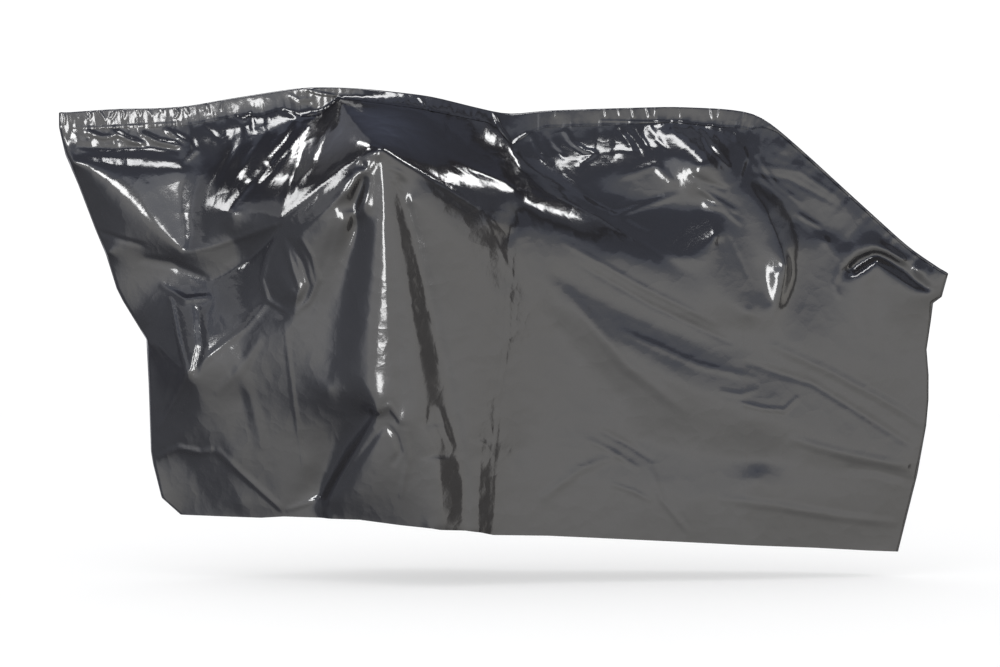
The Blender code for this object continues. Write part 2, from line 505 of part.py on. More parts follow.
def film_body(stations, front, rear):
    """The bag: an outer and an inner wall for each side, joined round the closed edge, and a
    rim along the hem."""
    vertices = []
    faces = []
    chains = {}
    start = 0
    for side, hem, folds, column in ((-1, NEAR_HEM, NEAR_FOLDS, 1), (1, FAR_HEM, FAR_FOLDS, 3)):
        points, depths, slopes, triangles, closed, rim = side_mesh(
            stations, front, rear, hem, folds, column
        )
        wall = FILM_THICKNESS * np.minimum(np.sqrt(1.0 + slopes**2), 2.5)
        inner_depths = np.maximum(depths - wall, EDGE_HALF_DEPTH - FILM_THICKNESS)
        inner_points = points.copy()
        inset = inward_of(points[:closed])
        inset[0] = (1.0, 0.0)
        inset[-1] = (-1.0, 0.0)
        inner_points[:closed] += FILM_THICKNESS * inset
        vertices += [placed(points, depths, side), placed(inner_points, inner_depths, side)]
        outer = triangles + start
        inner = triangles + start + len(points)
        if side < 0:
            faces += [tuple(face) for face in outer]
            faces += [tuple(face[::-1]) for face in inner]
        else:
            faces += [tuple(face[::-1]) for face in outer]
            faces += [tuple(face) for face in inner]
        edge = list(range(start, start + closed))
        hem_chain = [start + closed - 1, *range(start + closed, start + rim), start]
        shift = len(points)
        chains[side] = (edge, [v + shift for v in edge], hem_chain, [v + shift for v in hem_chain])
        start += 2 * len(points)
    near, far = chains[-1], chains[1]
    faces += strip_faces(near[0], far[0], closed=False)
    faces += strip_faces(far[1], near[1], closed=False)
    outer_rim = near[2] + far[2][::-1]
    inner_rim = near[3] + far[3][::-1]
    faces += strip_faces(outer_rim, inner_rim, closed=True)
    return np.concatenate(vertices), faces


def heading_strip(stations):
    """The strip as a folded U over the closed top edge, carried from station to station.
    Its wings stand a small gap off the film, and its puckers swell the middle of each wing."""
    near_welds, _, near_depths = heading_line(stations, 1)
    far_welds, _, far_depths = heading_line(stations, 3)
    inward = inward_of(stations)
    inner, outer = [], []
    for i in range(1, len(stations) - 1):
        swell = HEADING_PUCKER * (0.5 + 0.5 * np.sin(2.4 * i) * np.cos(0.7 * i))
        for chain, stand in ((inner, HEADING_GAP), (outer, HEADING_GAP + HEADING_THICKNESS)):
            top = stations[i] - stand * inward[i]
            section = []
            for side, welds, depths in ((-1, near_welds, near_depths), (1, far_welds, far_depths)):
                width = np.linalg.norm(welds[i] - stations[i])
                share = 1.0 - HEADING_LIFT / width
                low = stations[i] + share * (welds[i] - stations[i])
                low_depth = EDGE_HALF_DEPTH + share * (depths[i] - EDGE_HALF_DEPTH)
                middle = 0.5 * (stations[i] + low)
                middle_depth = 0.5 * (EDGE_HALF_DEPTH + low_depth) + swell
                wing_points = np.array([low, middle, top])
                wing_depths = np.array([low_depth, middle_depth, EDGE_HALF_DEPTH]) + stand
                wing = placed(wing_points, wing_depths, side)
                section += list(wing if side < 0 else wing[::-1])
            chain.append(section)
    count = len(inner)
    size = len(inner[0])
    vertices = np.concatenate([np.array(inner).reshape(-1, 3), np.array(outer).reshape(-1, 3)])
    shift = count * size
    faces = []
    for i in range(count - 1):
        for k in range(size - 1):
            a, b = i * size + k, i * size + k + 1
            c, d = a + size, b + size
            if k < size // 2:
                faces += [(a, b, c), (b, d, c)]
                faces += [(a + shift, c + shift, b + shift), (b + shift, c + shift, d + shift)]
            else:
                faces += [(a, b, d), (a, d, c)]
                faces += [(a + shift, d + shift, b + shift), (a + shift, c + shift, d + shift)]
        for k, turned in ((0, False), (size - 1, True)):
            a, c = i * size + k, (i + 1) * size + k
            quad = (a, c, c + shift, a + shift)
            faces.append(quad[::-1] if turned else quad)
    for i, turned in ((0, True), (count - 1, False)):
        for k in range(size - 1):
            a, b = i * size + k, i * size + k + 1
            quad = (a, b, b + shift, a + shift)
            faces.append(quad[::-1] if turned else quad)
    return vertices, faces


def film_material(name, colour, roughness):
    material = bpy.data.materials.new(name)
    material.use_nodes = True
    shader = material.node_tree.nodes["Principled BSDF"]
    shader.inputs["Base Color"].default_value = (*colour, 1.0)
    shader.inputs["Roughness"].default_value = roughness
    shader.inputs["Metallic"].default_value = 0.0
    return material


def add_object(name, vertices, faces, material):
    mesh = bpy.data.meshes.new(name)
    mesh.from_pydata(vertices.tolist(), [], faces)
    mesh.validate()
    mesh.materials.append(material)
    mesh.shade_smooth()
    mesh.set_sharp_from_angle(angle=np.radians(28.0))
    obj = bpy.data.objects.new(name, mesh)
    bpy.context.scene.collection.objects.link(obj)
    return obj


def main():
    for obj in list(bpy.data.objects):
        bpy.data.objects.remove(obj)
    stations = top_stations()
    front = spaced(FRONT_EDGE, EDGE_STEP)
    rear = spaced(REAR_EDGE, EDGE_STEP)
    body = film_material("polyethylene film", (0.048, 0.048, 0.053), 0.22)
    heading = film_material("welded polyethylene film", (0.055, 0.055, 0.058), 0.28)
    add_object("film_body", *film_body(stations, front, rear), body)
    add_object("heading_strip", *heading_strip(stations), heading)


main()
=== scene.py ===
"""Looks of a bicycle cover made of thin polyethylene film: the draped film with its creases,
the folded heading strip welded along its top, their finish, and a small studio round them.

Every table of shapes is in centimetres of the cover's own frame, and is turned to metres when
a mesh is made. A depth is how far the film stands out from the cover's middle plane.
"""

import bpy
import numpy as np
from bpy.props import FloatProperty, FloatVectorProperty, IntProperty, PointerProperty
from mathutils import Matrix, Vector


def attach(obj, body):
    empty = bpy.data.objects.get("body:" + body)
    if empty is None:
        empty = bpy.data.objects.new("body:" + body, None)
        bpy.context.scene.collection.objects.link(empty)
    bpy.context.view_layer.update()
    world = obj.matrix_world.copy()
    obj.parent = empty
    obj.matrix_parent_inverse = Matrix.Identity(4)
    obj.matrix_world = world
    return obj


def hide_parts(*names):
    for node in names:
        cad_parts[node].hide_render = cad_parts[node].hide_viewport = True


bl_info = {
    "name": "Film Bicycle Cover",
    "version": (1, 0, 0),
    "blender": (4, 5, 0),
    "location": "View3D > Sidebar > Cover",
    "description": "Draped film cover with its welded heading strip, finish and studio",
    "category": "Object",
}

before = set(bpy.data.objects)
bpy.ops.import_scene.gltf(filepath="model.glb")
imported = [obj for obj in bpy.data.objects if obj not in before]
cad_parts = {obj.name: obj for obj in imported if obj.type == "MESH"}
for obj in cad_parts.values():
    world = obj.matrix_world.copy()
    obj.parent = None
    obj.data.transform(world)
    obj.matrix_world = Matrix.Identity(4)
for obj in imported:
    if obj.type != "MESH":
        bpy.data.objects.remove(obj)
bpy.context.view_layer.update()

# Lengths here are in centimetres too, but for those of the stage, which are in metres.
CM = 0.01  # Metres in a centimetre.
UNDERSIDE = -0.14  # Height of the tables' zero in the part's own frame.
LENGTH = 210.0  # The cover's length, over which its middle plane wanders once to and fro.
TOP_INSET = 0.18  # How far the film's closed top edge lies inside the bag's outline.
EDGE_HALF_DEPTH = 0.25  # Depth of each side at the closed edges, before they join there at 0.
EDGE_RADIUS = 0.3  # Radius that rounds the film at its closed edges and at the weld.
HEM_RADIUS = 0.8  # The same at the hem.
EDGE_STEP = 2.4  # Spacing of the samples along the closed edges.
CONE_STEP = 1.5  # The same along the folds and the hem.
LEAST_GAP = 0.6  # Samples nearer than this to an earlier one are left out.
FIT_SLACK = 0.12  # How loosely each sample holds the film: at 0 it passes right through.
TOP_STEP = 0.6  # Spacing of the points along the top line.
GATHER_REACH = 3.5  # Stretch below the weld in which the gathers fade to about a third.
FACET_REACH = 6.0  # How far from the closed top the facets reach their full height.
CALM = 0.1  # How much the film is crumpled all over.
FLANK = 3.0  # Stretch beside a fold in which the facets grow to their full height.
FLANK_START = 0.2  # Where that stretch begins, as a share of it.
FOLD_FACETS = 0.25  # Share of the facets' height that is left on the folds themselves.
STRIP_END = 0.35  # How far the strip stops short of the film's two top corners.
WELD_MARGIN = 0.1  # How far the strip's wings end short of the weld's line.
LEAST_DEPTH = 0.2  # Least depth at which the strip takes the film beneath it to lie.
PUCKER_LEAN = 0.8  # Below 1, the puckers swell more towards the strip's fold than its weld.
LIP_HEIGHT = 0.06  # The lip that the welding bar leaves along the weld.
LIP_PLACE, LIP_SPREAD = 0.97, 0.05  # Its place and half width, as shares of the strip's width.
FOLD_POINTS = 5  # Points round the strip's fold, between its wings.

SENSOR_WIDTH = 36.0  # In millimetres.
CAMERA_TILT = 2.5  # How far the camera looks down, in degrees.
VIEW_CENTRE = (-0.0095, 0.0, -0.5182)
FLOOR_HALF = 6.0
FLOOR_ROUGHNESS = 0.9
EVEN_LIGHT = 1.05  # Brightness of the light on matt surfaces.
FILM_IOR = 1.52  # Refractive index of polyethylene.

# Outline of the bag: (along, height). The top runs from front to rear, and each end runs from
# the top down to the hem.
TOP_EDGE = [
    (-105.0, 0.5), (-90.5, 1.5), (-82.5, 1.5), (-74.5, 2.0), (-66.5, 3.5), (-54.0, 5.5),
    (-47.0, 6.5), (-39.0, 6.5), (-31.0, 6.0), (-17.5, 4.5), (-7.5, 2.0), (1.0, 0.0),
    (8.5, 1.0), (22.5, 1.5), (39.5, 2.0), (52.0, 1.5), (59.5, 0.5), (64.5, -3.0),
    (73.0, -10.5), (79.5, -16.5), (96.0, -31.5), (105.0, -37.5),
]
FRONT_EDGE = [
    (-105.0, 0.5), (-105.0, -3.0), (-103.5, -9.5), (-100.5, -16.5), (-96.5, -27.0),
    (-94.0, -33.0), (-91.5, -41.0), (-90.0, -44.0), (-84.5, -53.0), (-84.0, -63.5),
    (-83.5, -79.5), (-83.0, -82.5), (-81.0, -90.5), (-76.5, -94.5),
]
REAR_EDGE = [
    (105.0, -37.5), (103.5, -43.0), (101.5, -44.5), (101.0, -48.5), (100.0, -55.5),
    (100.5, -61.5), (100.5, -67.5), (100.0, -73.5), (98.0, -85.0), (93.5, -103.5),
]

# Heading strip: (along, near width, near depth, far width, far depth). Width runs from the
# closed top edge to the weld, and depth is the film's at the weld.
HEADING = [
    (-105.0, 3.8, 0.35, 3.8, 0.35),
    (-96.0, 4.5, 0.5, 4.2, 0.5),
    (-83.5, 4.5, 0.6, 4.2, 0.6),
    (-74.5, 4.5, 0.7, 4.2, 0.8),
    (-63.5, 4.4, 0.9, 4.2, 1.0),
    (-58.5, 5.2, 1.0, 4.2, 1.1),
    (-53.0, 4.5, 1.1, 4.2, 1.2),
    (-48.0, 6.7, 1.3, 4.2, 1.4),
    (-43.5, 6.6, 1.4, 4.2, 1.5),
    (-40.5, 4.5, 1.1, 4.2, 1.6),
    (-38.5, 2.5, 0.9, 4.2, 1.6),
    (-31.0, 3.0, 2.0, 4.2, 1.6),
    (-24.5, 3.2, 3.0, 4.2, 1.5),
    (-15.0, 3.3, 3.0, 4.2, 1.3),
    (-3.5, 2.8, 2.5, 4.2, 1.0),
    (-1.0, 3.8, 2.5, 4.2, 0.9),
    (2.0, 7.3, 2.4, 4.2, 0.9),
    (6.0, 4.8, 1.3, 4.2, 0.9),
    (9.5, 3.9, 0.8, 4.2, 0.8),
    (22.5, 4.0, 0.7, 4.2, 0.7),
    (39.5, 3.6, 0.7, 4.2, 0.7),
    (51.5, 4.3, 0.8, 4.2, 0.7),
    (59.5, 3.8, 0.8, 4.2, 0.7),
    (62.0, 1.8, 0.6, 4.2, 0.7),
    (65.0, 0.6, 0.35, 4.2, 0.7),
    (105.0, 0.6, 0.35, 3.0, 0.35),
]

# Hem of each side, from the front to the rear: (along, height, depth).
NEAR_HEM = [
    (-76.5, -94.5, 0.25), (-67.0, -94.5, 4.0), (-57.0, -94.5, 7.8), (-51.5, -94.0, 9.9),
    (-42.4, -94.0, 13.2), (-41.0, -94.0, 15.6), (-33.5, -94.0, 18.5), (-23.5, -95.0, 22.3),
    (-16.5, -95.5, 25.0), (-14.8, -95.8, 24.9), (-8.8, -96.2, 23.2), (-7.0, -96.5, 22.9),
    (-5.6, -96.7, 22.3), (-2.5, -97.5, 20.6), (10.5, -98.0, 18.0), (34.0, -99.5, 14.8),
    (57.5, -101.0, 11.6), (73.5, -102.0, 7.0), (86.0, -103.0, 3.0), (93.5, -103.5, 0.25),
]
FAR_HEM = [
    (-76.5, -94.5, 0.25), (-65.0, -94.5, 6.0), (-50.5, -94.0, 13.5), (-39.0, -94.0, 19.0),
    (-31.0, -94.5, 23.5), (-20.5, -96.0, 20.5), (-11.5, -96.5, 21.5), (1.5, -97.5, 16.0),
    (22.5, -98.5, 14.5), (46.5, -100.0, 12.5), (70.0, -101.0, 10.0), (86.5, -102.5, 6.0),
    (93.5, -103.5, 0.25),
]

# Folds of the near side. Each row is a fold's name, the radius that rounds its crest, and
# the points that it runs through: (along, height, depth).
NEAR_FOLDS = [
    ("front corner shelf", 0.3,
     (-102.5, -9.5, 1.2), (-88.0, -10.2, 2.2), (-75.5, -11.4, 3.0), (-72.5, -8.0, 3.0)),
    ("foot of corner shelf", 0.3,
     (-101.5, -11.2, 2.1), (-95.0, -11.6, 2.75), (-88.0, -11.9, 3.2), (-76.0, -13.1, 4.0)),
    ("front corner diagonal", 0.9,
     (-102.0, -10.0, 1.5), (-93.0, -16.0, 3.9), (-83.0, -24.5, 6.3), (-75.0, -32.5, 7.4)),
    ("first swag rise", 0.5, (-75.0, -32.5, 7.4), (-62.5, -29.5, 11.6), (-51.5, -25.5, 19.0)),
    ("first swag crown", 3.0, (-75.0, -15.5, 4.5), (-75.0, -23.5, 5.8), (-75.0, -31.5, 7.2)),
    ("tuck under first swag", 0.3,
     (-93.5, -32.5, 1.6), (-86.5, -33.5, 2.9), (-77.0, -35.5, 4.9), (-68.5, -39.0, 7.8)),
    ("tuck rise", 0.3, (-68.5, -39.0, 7.8), (-60.5, -33.5, 11.2), (-52.0, -26.5, 18.2)),
    ("second swag front", 0.3, (-84.5, -53.0, 1.4), (-79.5, -57.0, 5.0), (-74.0, -61.0, 10.8)),
    ("second swag eave", 1.0,
     (-74.0, -61.0, 10.8), (-61.5, -55.0, 13.8), (-50.0, -47.0, 18.8), (-43.0, -37.5, 22.6),
     (-36.5, -28.0, 25.8), (-31.5, -17.5, 28.5), (-29.5, -9.0, 30.0)),
    ("second swag crest", 0.4, (-75.0, -43.5, 6.6), (-74.5, -51.5, 8.6), (-73.5, -60.0, 11.0)),
    ("grip front shoulder", 0.5,
     (-30.0, -8.5, 29.5), (-37.5, -14.5, 26.5), (-45.0, -19.5, 22.6), (-51.5, -25.0, 19.3)),
    ("lower edge of shoulder", 0.5,
     (-30.6, -10.6, 29.4), (-35.8, -18.2, 28.2), (-41.5, -23.2, 25.8), (-47.0, -28.4, 22.7)),
    ("leaf edge", 0.3,
     (-51.5, -26.5, 18.6), (-56.0, -34.5, 15.6), (-57.0, -41.0, 14.8), (-50.0, -47.0, 18.4)),
    ("leaf crest", 1.0, (-50.5, -27.5, 19.8), (-49.0, -35.0, 20.4), (-47.5, -42.0, 20.8)),
    ("front roof pleat", 1.0,
     (-48.0, -4.5, 5.5), (-55.0, -10.5, 9.5), (-59.5, -16.0, 12.0), (-63.5, -23.0, 13.0)),
    ("roof to grip", 0.5, (-39.0, 3.5, 1.4), (-30.0, -8.0, 30.0)),
    ("grip rear eave", 0.3, (-28.0, -8.0, 30.0), (-17.0, -15.0, 26.5), (-5.5, -22.0, 22.5)),
    ("rear roof pleat", 1.0,
     (-17.0, -6.5, 15.0), (-10.0, -10.5, 16.0), (-3.5, -14.5, 16.0), (2.5, -17.5, 15.0)),
    ("eave upper fork", 0.4, (-5.5, -22.0, 22.5), (-1.0, -23.0, 20.5), (2.5, -23.5, 18.0)),
    ("eave lower fork", 0.4, (-5.5, -22.0, 22.5), (-1.5, -25.0, 21.6), (1.5, -28.0, 19.8)),
    ("grip plumb ridge", 0.7,
     (-27.5, -8.5, 30.0), (-26.7, -20.0, 30.0), (-26.0, -36.0, 29.6), (-25.3, -52.0, 28.8),
     (-23.8, -70.0, 28.0), (-19.5, -82.0, 26.4), (-16.5, -93.0, 25.1)),
    ("fan ridge", 0.6,
     (-28.9, -11.4, 29.6), (-29.8, -23.3, 28.9), (-30.5, -35.9, 28.4), (-31.0, -49.7, 27.9),
     (-31.2, -63.5, 27.4), (-29.4, -68.5, 27.4)),
    ("fan hollow", 0.8,
     (-32.1, -12.0, 28.2), (-34.2, -23.3, 25.8), (-36.4, -36.0, 24.3), (-38.5, -49.8, 23.2),
     (-40.6, -63.7, 22.2)),
    ("rounded tuck", 0.3,
     (-41.0, -89.5, 16.4), (-34.6, -78.0, 21.8), (-28.6, -69.2, 26.3), (-26.5, -69.0, 27.1),
     (-23.5, -71.0, 27.5)),
    ("foot of rounded tuck", 0.3,
     (-42.4, -88.8, 13.4), (-36.4, -77.4, 18.8), (-30.8, -68.9, 24.2)),
    ("strip behind ridge", 0.4,
     (-26.6, -11.8, 29.7), (-25.4, -19.8, 29.5), (-23.8, -29.0, 29.2), (-21.8, -42.8, 28.6),
     (-20.2, -54.2, 28.1), (-18.4, -65.7, 27.6), (-17.5, -74.9, 27.0), (-16.3, -84.1, 25.9)),
    ("trough behind ridge", 0.4,
     (-23.6, -15.7, 28.6), (-22.0, -21.0, 28.0), (-20.2, -29.0, 27.3), (-16.8, -42.8, 26.0),
     (-14.3, -54.4, 25.3), (-11.8, -65.9, 24.7), (-9.7, -75.2, 24.2), (-9.0, -84.4, 23.6),
     (-8.8, -93.7, 23.2)),
    ("long pleat", 0.4,
     (-25.2, -13.4, 29.5), (-20.9, -21.0, 28.5), (-18.6, -29.0, 27.6), (-15.4, -42.8, 26.1),
     (-12.7, -54.4, 25.3), (-10.4, -65.9, 24.7), (-8.8, -75.1, 24.3), (-7.9, -84.4, 23.4),
     (-7.6, -93.7, 23.0)),
    ("side of middle", 0.4, (-6.0, -78.7, 22.9), (-5.8, -86.8, 22.6), (-5.6, -94.2, 22.3)),
    ("middle ridge", 0.6,
     (1.0, -43.0, 21.5), (0.6, -54.5, 21.5), (-1.0, -66.0, 21.6), (-1.7, -78.0, 21.5),
     (-2.6, -95.0, 21.0)),
    ("saddle valley", 0.4,
     (2.0, -8.0, 3.0), (3.5, -13.0, 6.6), (9.5, -17.0, 8.2), (22.5, -23.5, 9.6),
     (31.5, -30.0, 11.4), (37.5, -33.5, 12.0)),
    ("lip under valley", 1.0,
     (7.0, -21.5, 15.2), (22.5, -29.0, 13.2), (31.5, -33.5, 13.0), (37.5, -36.5, 12.8)),
    ("saddle side", 1.0,
     (13.0, -13.0, 4.7), (22.5, -13.2, 5.3), (34.0, -12.6, 5.4), (40.0, -12.3, 6.1)),
    ("saddle face", 1.5, (24.0, -19.5, 7.2), (34.0, -21.0, 6.8), (46.0, -21.5, 7.0)),
    ("saddle crease", 0.8, (39.8, -3.6, 2.4), (43.4, -7.0, 4.9), (47.4, -10.8, 7.4)),
    ("foot of saddle crease", 0.8, (38.5, -4.9, 3.0), (42.1, -8.3, 5.5), (46.3, -12.3, 8.1)),
    ("dip behind valley", 0.4, (38.5, -29.5, 10.3), (43.5, -29.5, 10.2), (48.0, -28.0, 9.8)),
    ("dip lip", 0.3,
     (38.0, -33.5, 12.0), (43.5, -33.9, 12.0), (47.0, -32.3, 11.5), (49.3, -28.5, 10.4)),
    ("rear ridge", 0.5, (38.0, -33.5, 12.0), (48.0, -40.0, 12.2), (57.5, -46.5, 11.2)),
    ("tongue rear edge", 0.3,
     (54.0, -12.0, 5.0), (61.5, -22.5, 7.0), (65.5, -31.5, 8.5), (66.2, -35.4, 9.6),
     (65.9, -39.0, 9.6), (64.4, -43.5, 9.7), (62.6, -45.8, 9.8), (57.5, -46.5, 11.0)),
    ("tongue plate", 0.3, (60.4, -35.3, 8.8), (61.3, -40.0, 9.1), (62.3, -44.0, 9.5)),
    ("top of tongue plate", 0.3, (60.4, -35.3, 8.8), (66.2, -35.4, 9.6)),
    ("foot of tongue", 0.4,
     (55.5, -11.5, 4.4), (62.9, -22.0, 5.9), (66.9, -31.2, 7.2), (67.4, -37.8, 7.6),
     (65.4, -46.0, 8.8)),
    ("tongue face", 1.0, (53.0, -21.0, 7.2), (57.5, -28.0, 8.2), (59.3, -34.0, 8.8)),
    ("tongue front edge", 0.4, (49.5, -28.5, 9.8), (53.5, -37.0, 10.6), (57.5, -46.0, 11.0)),
    ("rear roof hollow", 0.8, (59.0, -16.5, 5.0), (66.5, -18.0, 2.8)),
    ("rear roof edge", 0.3,
     (65.0, -7.4, 1.2), (71.8, -13.6, 1.1), (78.8, -19.9, 1.1), (88.8, -28.9, 1.0),
     (96.8, -35.3, 0.9)),
    ("rear roof ledge", 0.8, (68.0, -25.0, 4.0), (75.0, -27.5, 2.6), (81.0, -30.0, 2.2)),
    ("corner tuck upper lip", 0.3,
     (81.2, -35.1, 3.4), (83.1, -33.0, 3.0), (87.8, -31.4, 2.5), (91.2, -32.5, 2.3),
     (94.8, -34.4, 2.1), (97.4, -36.3, 1.8), (100.6, -39.9, 1.2)),
    ("corner tuck slot", 0.3,
     (82.3, -36.3, 2.0), (84.2, -34.5, 1.5), (88.0, -32.8, 1.2), (90.9, -34.0, 1.0),
     (94.2, -36.1, 0.9), (96.8, -38.5, 0.8), (99.7, -40.9, 0.7)),
    ("corner tuck lower lip", 0.3,
     (80.1, -39.5, 4.6), (83.9, -37.0, 4.1), (87.7, -34.6, 3.4), (90.6, -36.8, 3.1),
     (94.0, -39.1, 2.6), (97.4, -41.3, 2.0), (100.6, -42.0, 1.2)),
    ("rear corner facet", 0.4, (75.5, -28.0, 3.5), (76.0, -34.5, 4.3), (80.0, -40.2, 4.6)),
    ("ridge under tuck", 0.6, (87.5, -36.0, 3.9), (88.0, -45.0, 3.6), (88.0, -56.0, 3.6)),
    ("upper long fold", 1.5,
     (13.0, -29.5, 16.6), (27.0, -36.5, 14.2), (45.5, -46.0, 12.6), (69.0, -54.0, 8.6),
     (88.0, -60.0, 3.8)),
    ("long hollow", 0.6,
     (13.0, -38.0, 17.3), (27.0, -46.0, 14.6), (41.0, -51.5, 12.8), (55.0, -57.0, 11.3),
     (69.0, -62.0, 8.6), (81.0, -67.5, 5.6), (94.5, -77.0, 1.6)),
    ("long fold", 1.2,
     (3.0, -28.5, 19.8), (13.0, -42.0, 17.9), (22.5, -51.5, 17.0), (41.0, -62.0, 15.2),
     (59.5, -71.0, 12.2), (81.0, -78.5, 6.4), (93.5, -81.5, 2.2)),
    ("hollow beside middle", 1.0, (3.0, -36.0, 20.4), (13.0, -50.0, 17.2), (27.0, -65.5, 15.2)),
    ("low hollow", 1.0,
     (31.5, -76.0, 14.5), (45.5, -79.5, 13.3), (69.0, -82.5, 9.3), (88.0, -85.0, 3.8),
     (96.0, -86.0, 1.0)),
    ("hem hollow", 1.2, (59.5, -85.5, 12.0), (74.0, -90.0, 8.0), (88.0, -93.5, 3.2)),
    ("low middle", 1.5, (3.5, -78.0, 19.4), (22.5, -82.5, 16.4), (45.5, -90.0, 14.0)),
    ("wheel crease", 0.5, (-67.0, -78.5, 7.7), (-63.5, -85.5, 7.5), (-51.5, -91.5, 10.6)),
    ("wheel crease rise", 0.5, (-51.5, -91.5, 10.6), (-49.0, -87.0, 12.2), (-46.0, -81.5, 14.2)),
    ("wheel crease to tuck", 0.4, (-51.5, -91.5, 10.6), (-43.4, -89.5, 13.0)),
    ("wheel face", 1.5, (-61.5, -66.5, 11.9), (-62.5, -76.0, 10.0), (-64.0, -80.5, 8.8)),
    ("tyre shoulder", 0.8,
     (-62.5, -61.5, 13.2), (-70.0, -67.0, 9.8), (-74.0, -73.0, 6.4), (-81.0, -79.0, 1.6)),
    ("tyre crease", 0.3, (-81.5, -81.0, 1.0), (-75.0, -81.5, 3.3), (-70.0, -81.0, 5.7)),
    ("tyre front", 1.0, (-79.0, -88.5, 0.8), (-71.5, -89.5, 3.0), (-61.5, -91.0, 7.2)),
]

# Folds of the far side, in the same columns. It hangs a little plainer.
FAR_FOLDS = [
    ("roof to grip", 1.0, (-38.5, 1.0, 2.4), (-31.5, -9.0, 28.0)),
    ("front eave", 1.5,
     (-31.5, -9.0, 28.0), (-46.0, -20.0, 21.0), (-62.5, -35.0, 14.0), (-76.5, -44.0, 8.5),
     (-88.0, -46.5, 1.4)),
    ("front swag", 0.8,
     (-82.5, -58.5, 1.8), (-70.5, -65.5, 11.5), (-57.0, -53.0, 17.0), (-41.0, -29.5, 24.5)),
    ("front upper swag", 1.0,
     (-100.5, -12.0, 1.4), (-83.5, -23.5, 7.0), (-70.5, -27.5, 10.5), (-53.0, -17.5, 15.5)),
    ("rear eave", 1.5,
     (-31.5, -9.0, 28.0), (-13.0, -20.0, 21.0), (6.0, -26.0, 15.0), (27.5, -29.5, 12.0),
     (51.0, -35.5, 10.0), (77.0, -44.0, 7.0), (98.0, -54.0, 1.6)),
    ("grip plumb ridge", 0.6,
     (-31.5, -9.5, 28.0), (-32.5, -44.0, 27.0), (-31.0, -72.0, 26.0), (-32.0, -92.0, 24.5)),
    ("hollow behind ridge", 1.5,
     (-30.0, -17.5, 27.0), (-24.5, -44.0, 23.5), (-22.0, -72.0, 22.0), (-20.5, -92.0, 21.0)),
    ("pleat behind ridge", 0.8,
     (-30.5, -13.5, 27.5), (-17.5, -44.0, 25.0), (-12.5, -72.0, 24.0), (-10.5, -93.5, 22.5)),
    ("hollow ahead of ridge", 1.5,
     (-33.5, -17.5, 27.0), (-41.0, -44.0, 23.0), (-44.0, -72.0, 21.0), (-45.5, -91.0, 19.0)),
    ("pleat ahead of ridge", 1.0,
     (-36.5, -17.5, 26.5), (-49.0, -44.0, 22.0), (-55.0, -72.0, 18.5), (-57.0, -91.0, 16.5)),
    ("middle hollow", 1.5, (-8.0, -34.5, 19.5), (-1.0, -67.5, 17.0), (1.5, -94.5, 16.0)),
    ("long rear fold", 1.5,
     (6.0, -29.5, 16.0), (32.0, -53.0, 14.0), (60.5, -67.5, 12.0), (94.0, -80.0, 3.0)),
    ("long rear hollow", 1.5,
     (4.0, -41.5, 15.0), (27.5, -67.5, 12.5), (60.5, -81.5, 10.5), (88.0, -91.0, 4.0)),
    ("saddle shoulder", 2.0, (22.5, -9.0, 5.5), (34.5, -8.0, 6.5), (48.5, -9.0, 6.5)),
    ("saddle swag", 1.2,
     (6.0, -10.0, 5.0), (20.5, -19.0, 9.0), (34.5, -24.5, 11.0), (51.0, -22.0, 9.0),
     (66.0, -19.0, 6.0)),
    ("rear facet", 1.5, (61.5, -10.5, 5.0), (70.0, -27.0, 8.5), (79.5, -41.5, 8.0)),
    ("front wheel side", 2.0, (-80.0, -72.0, 3.5), (-72.0, -77.0, 7.5), (-63.5, -81.5, 11.0)),
    ("rear low", 2.5, (22.5, -86.5, 15.0), (46.5, -91.0, 13.0), (70.0, -93.5, 10.5)),
]

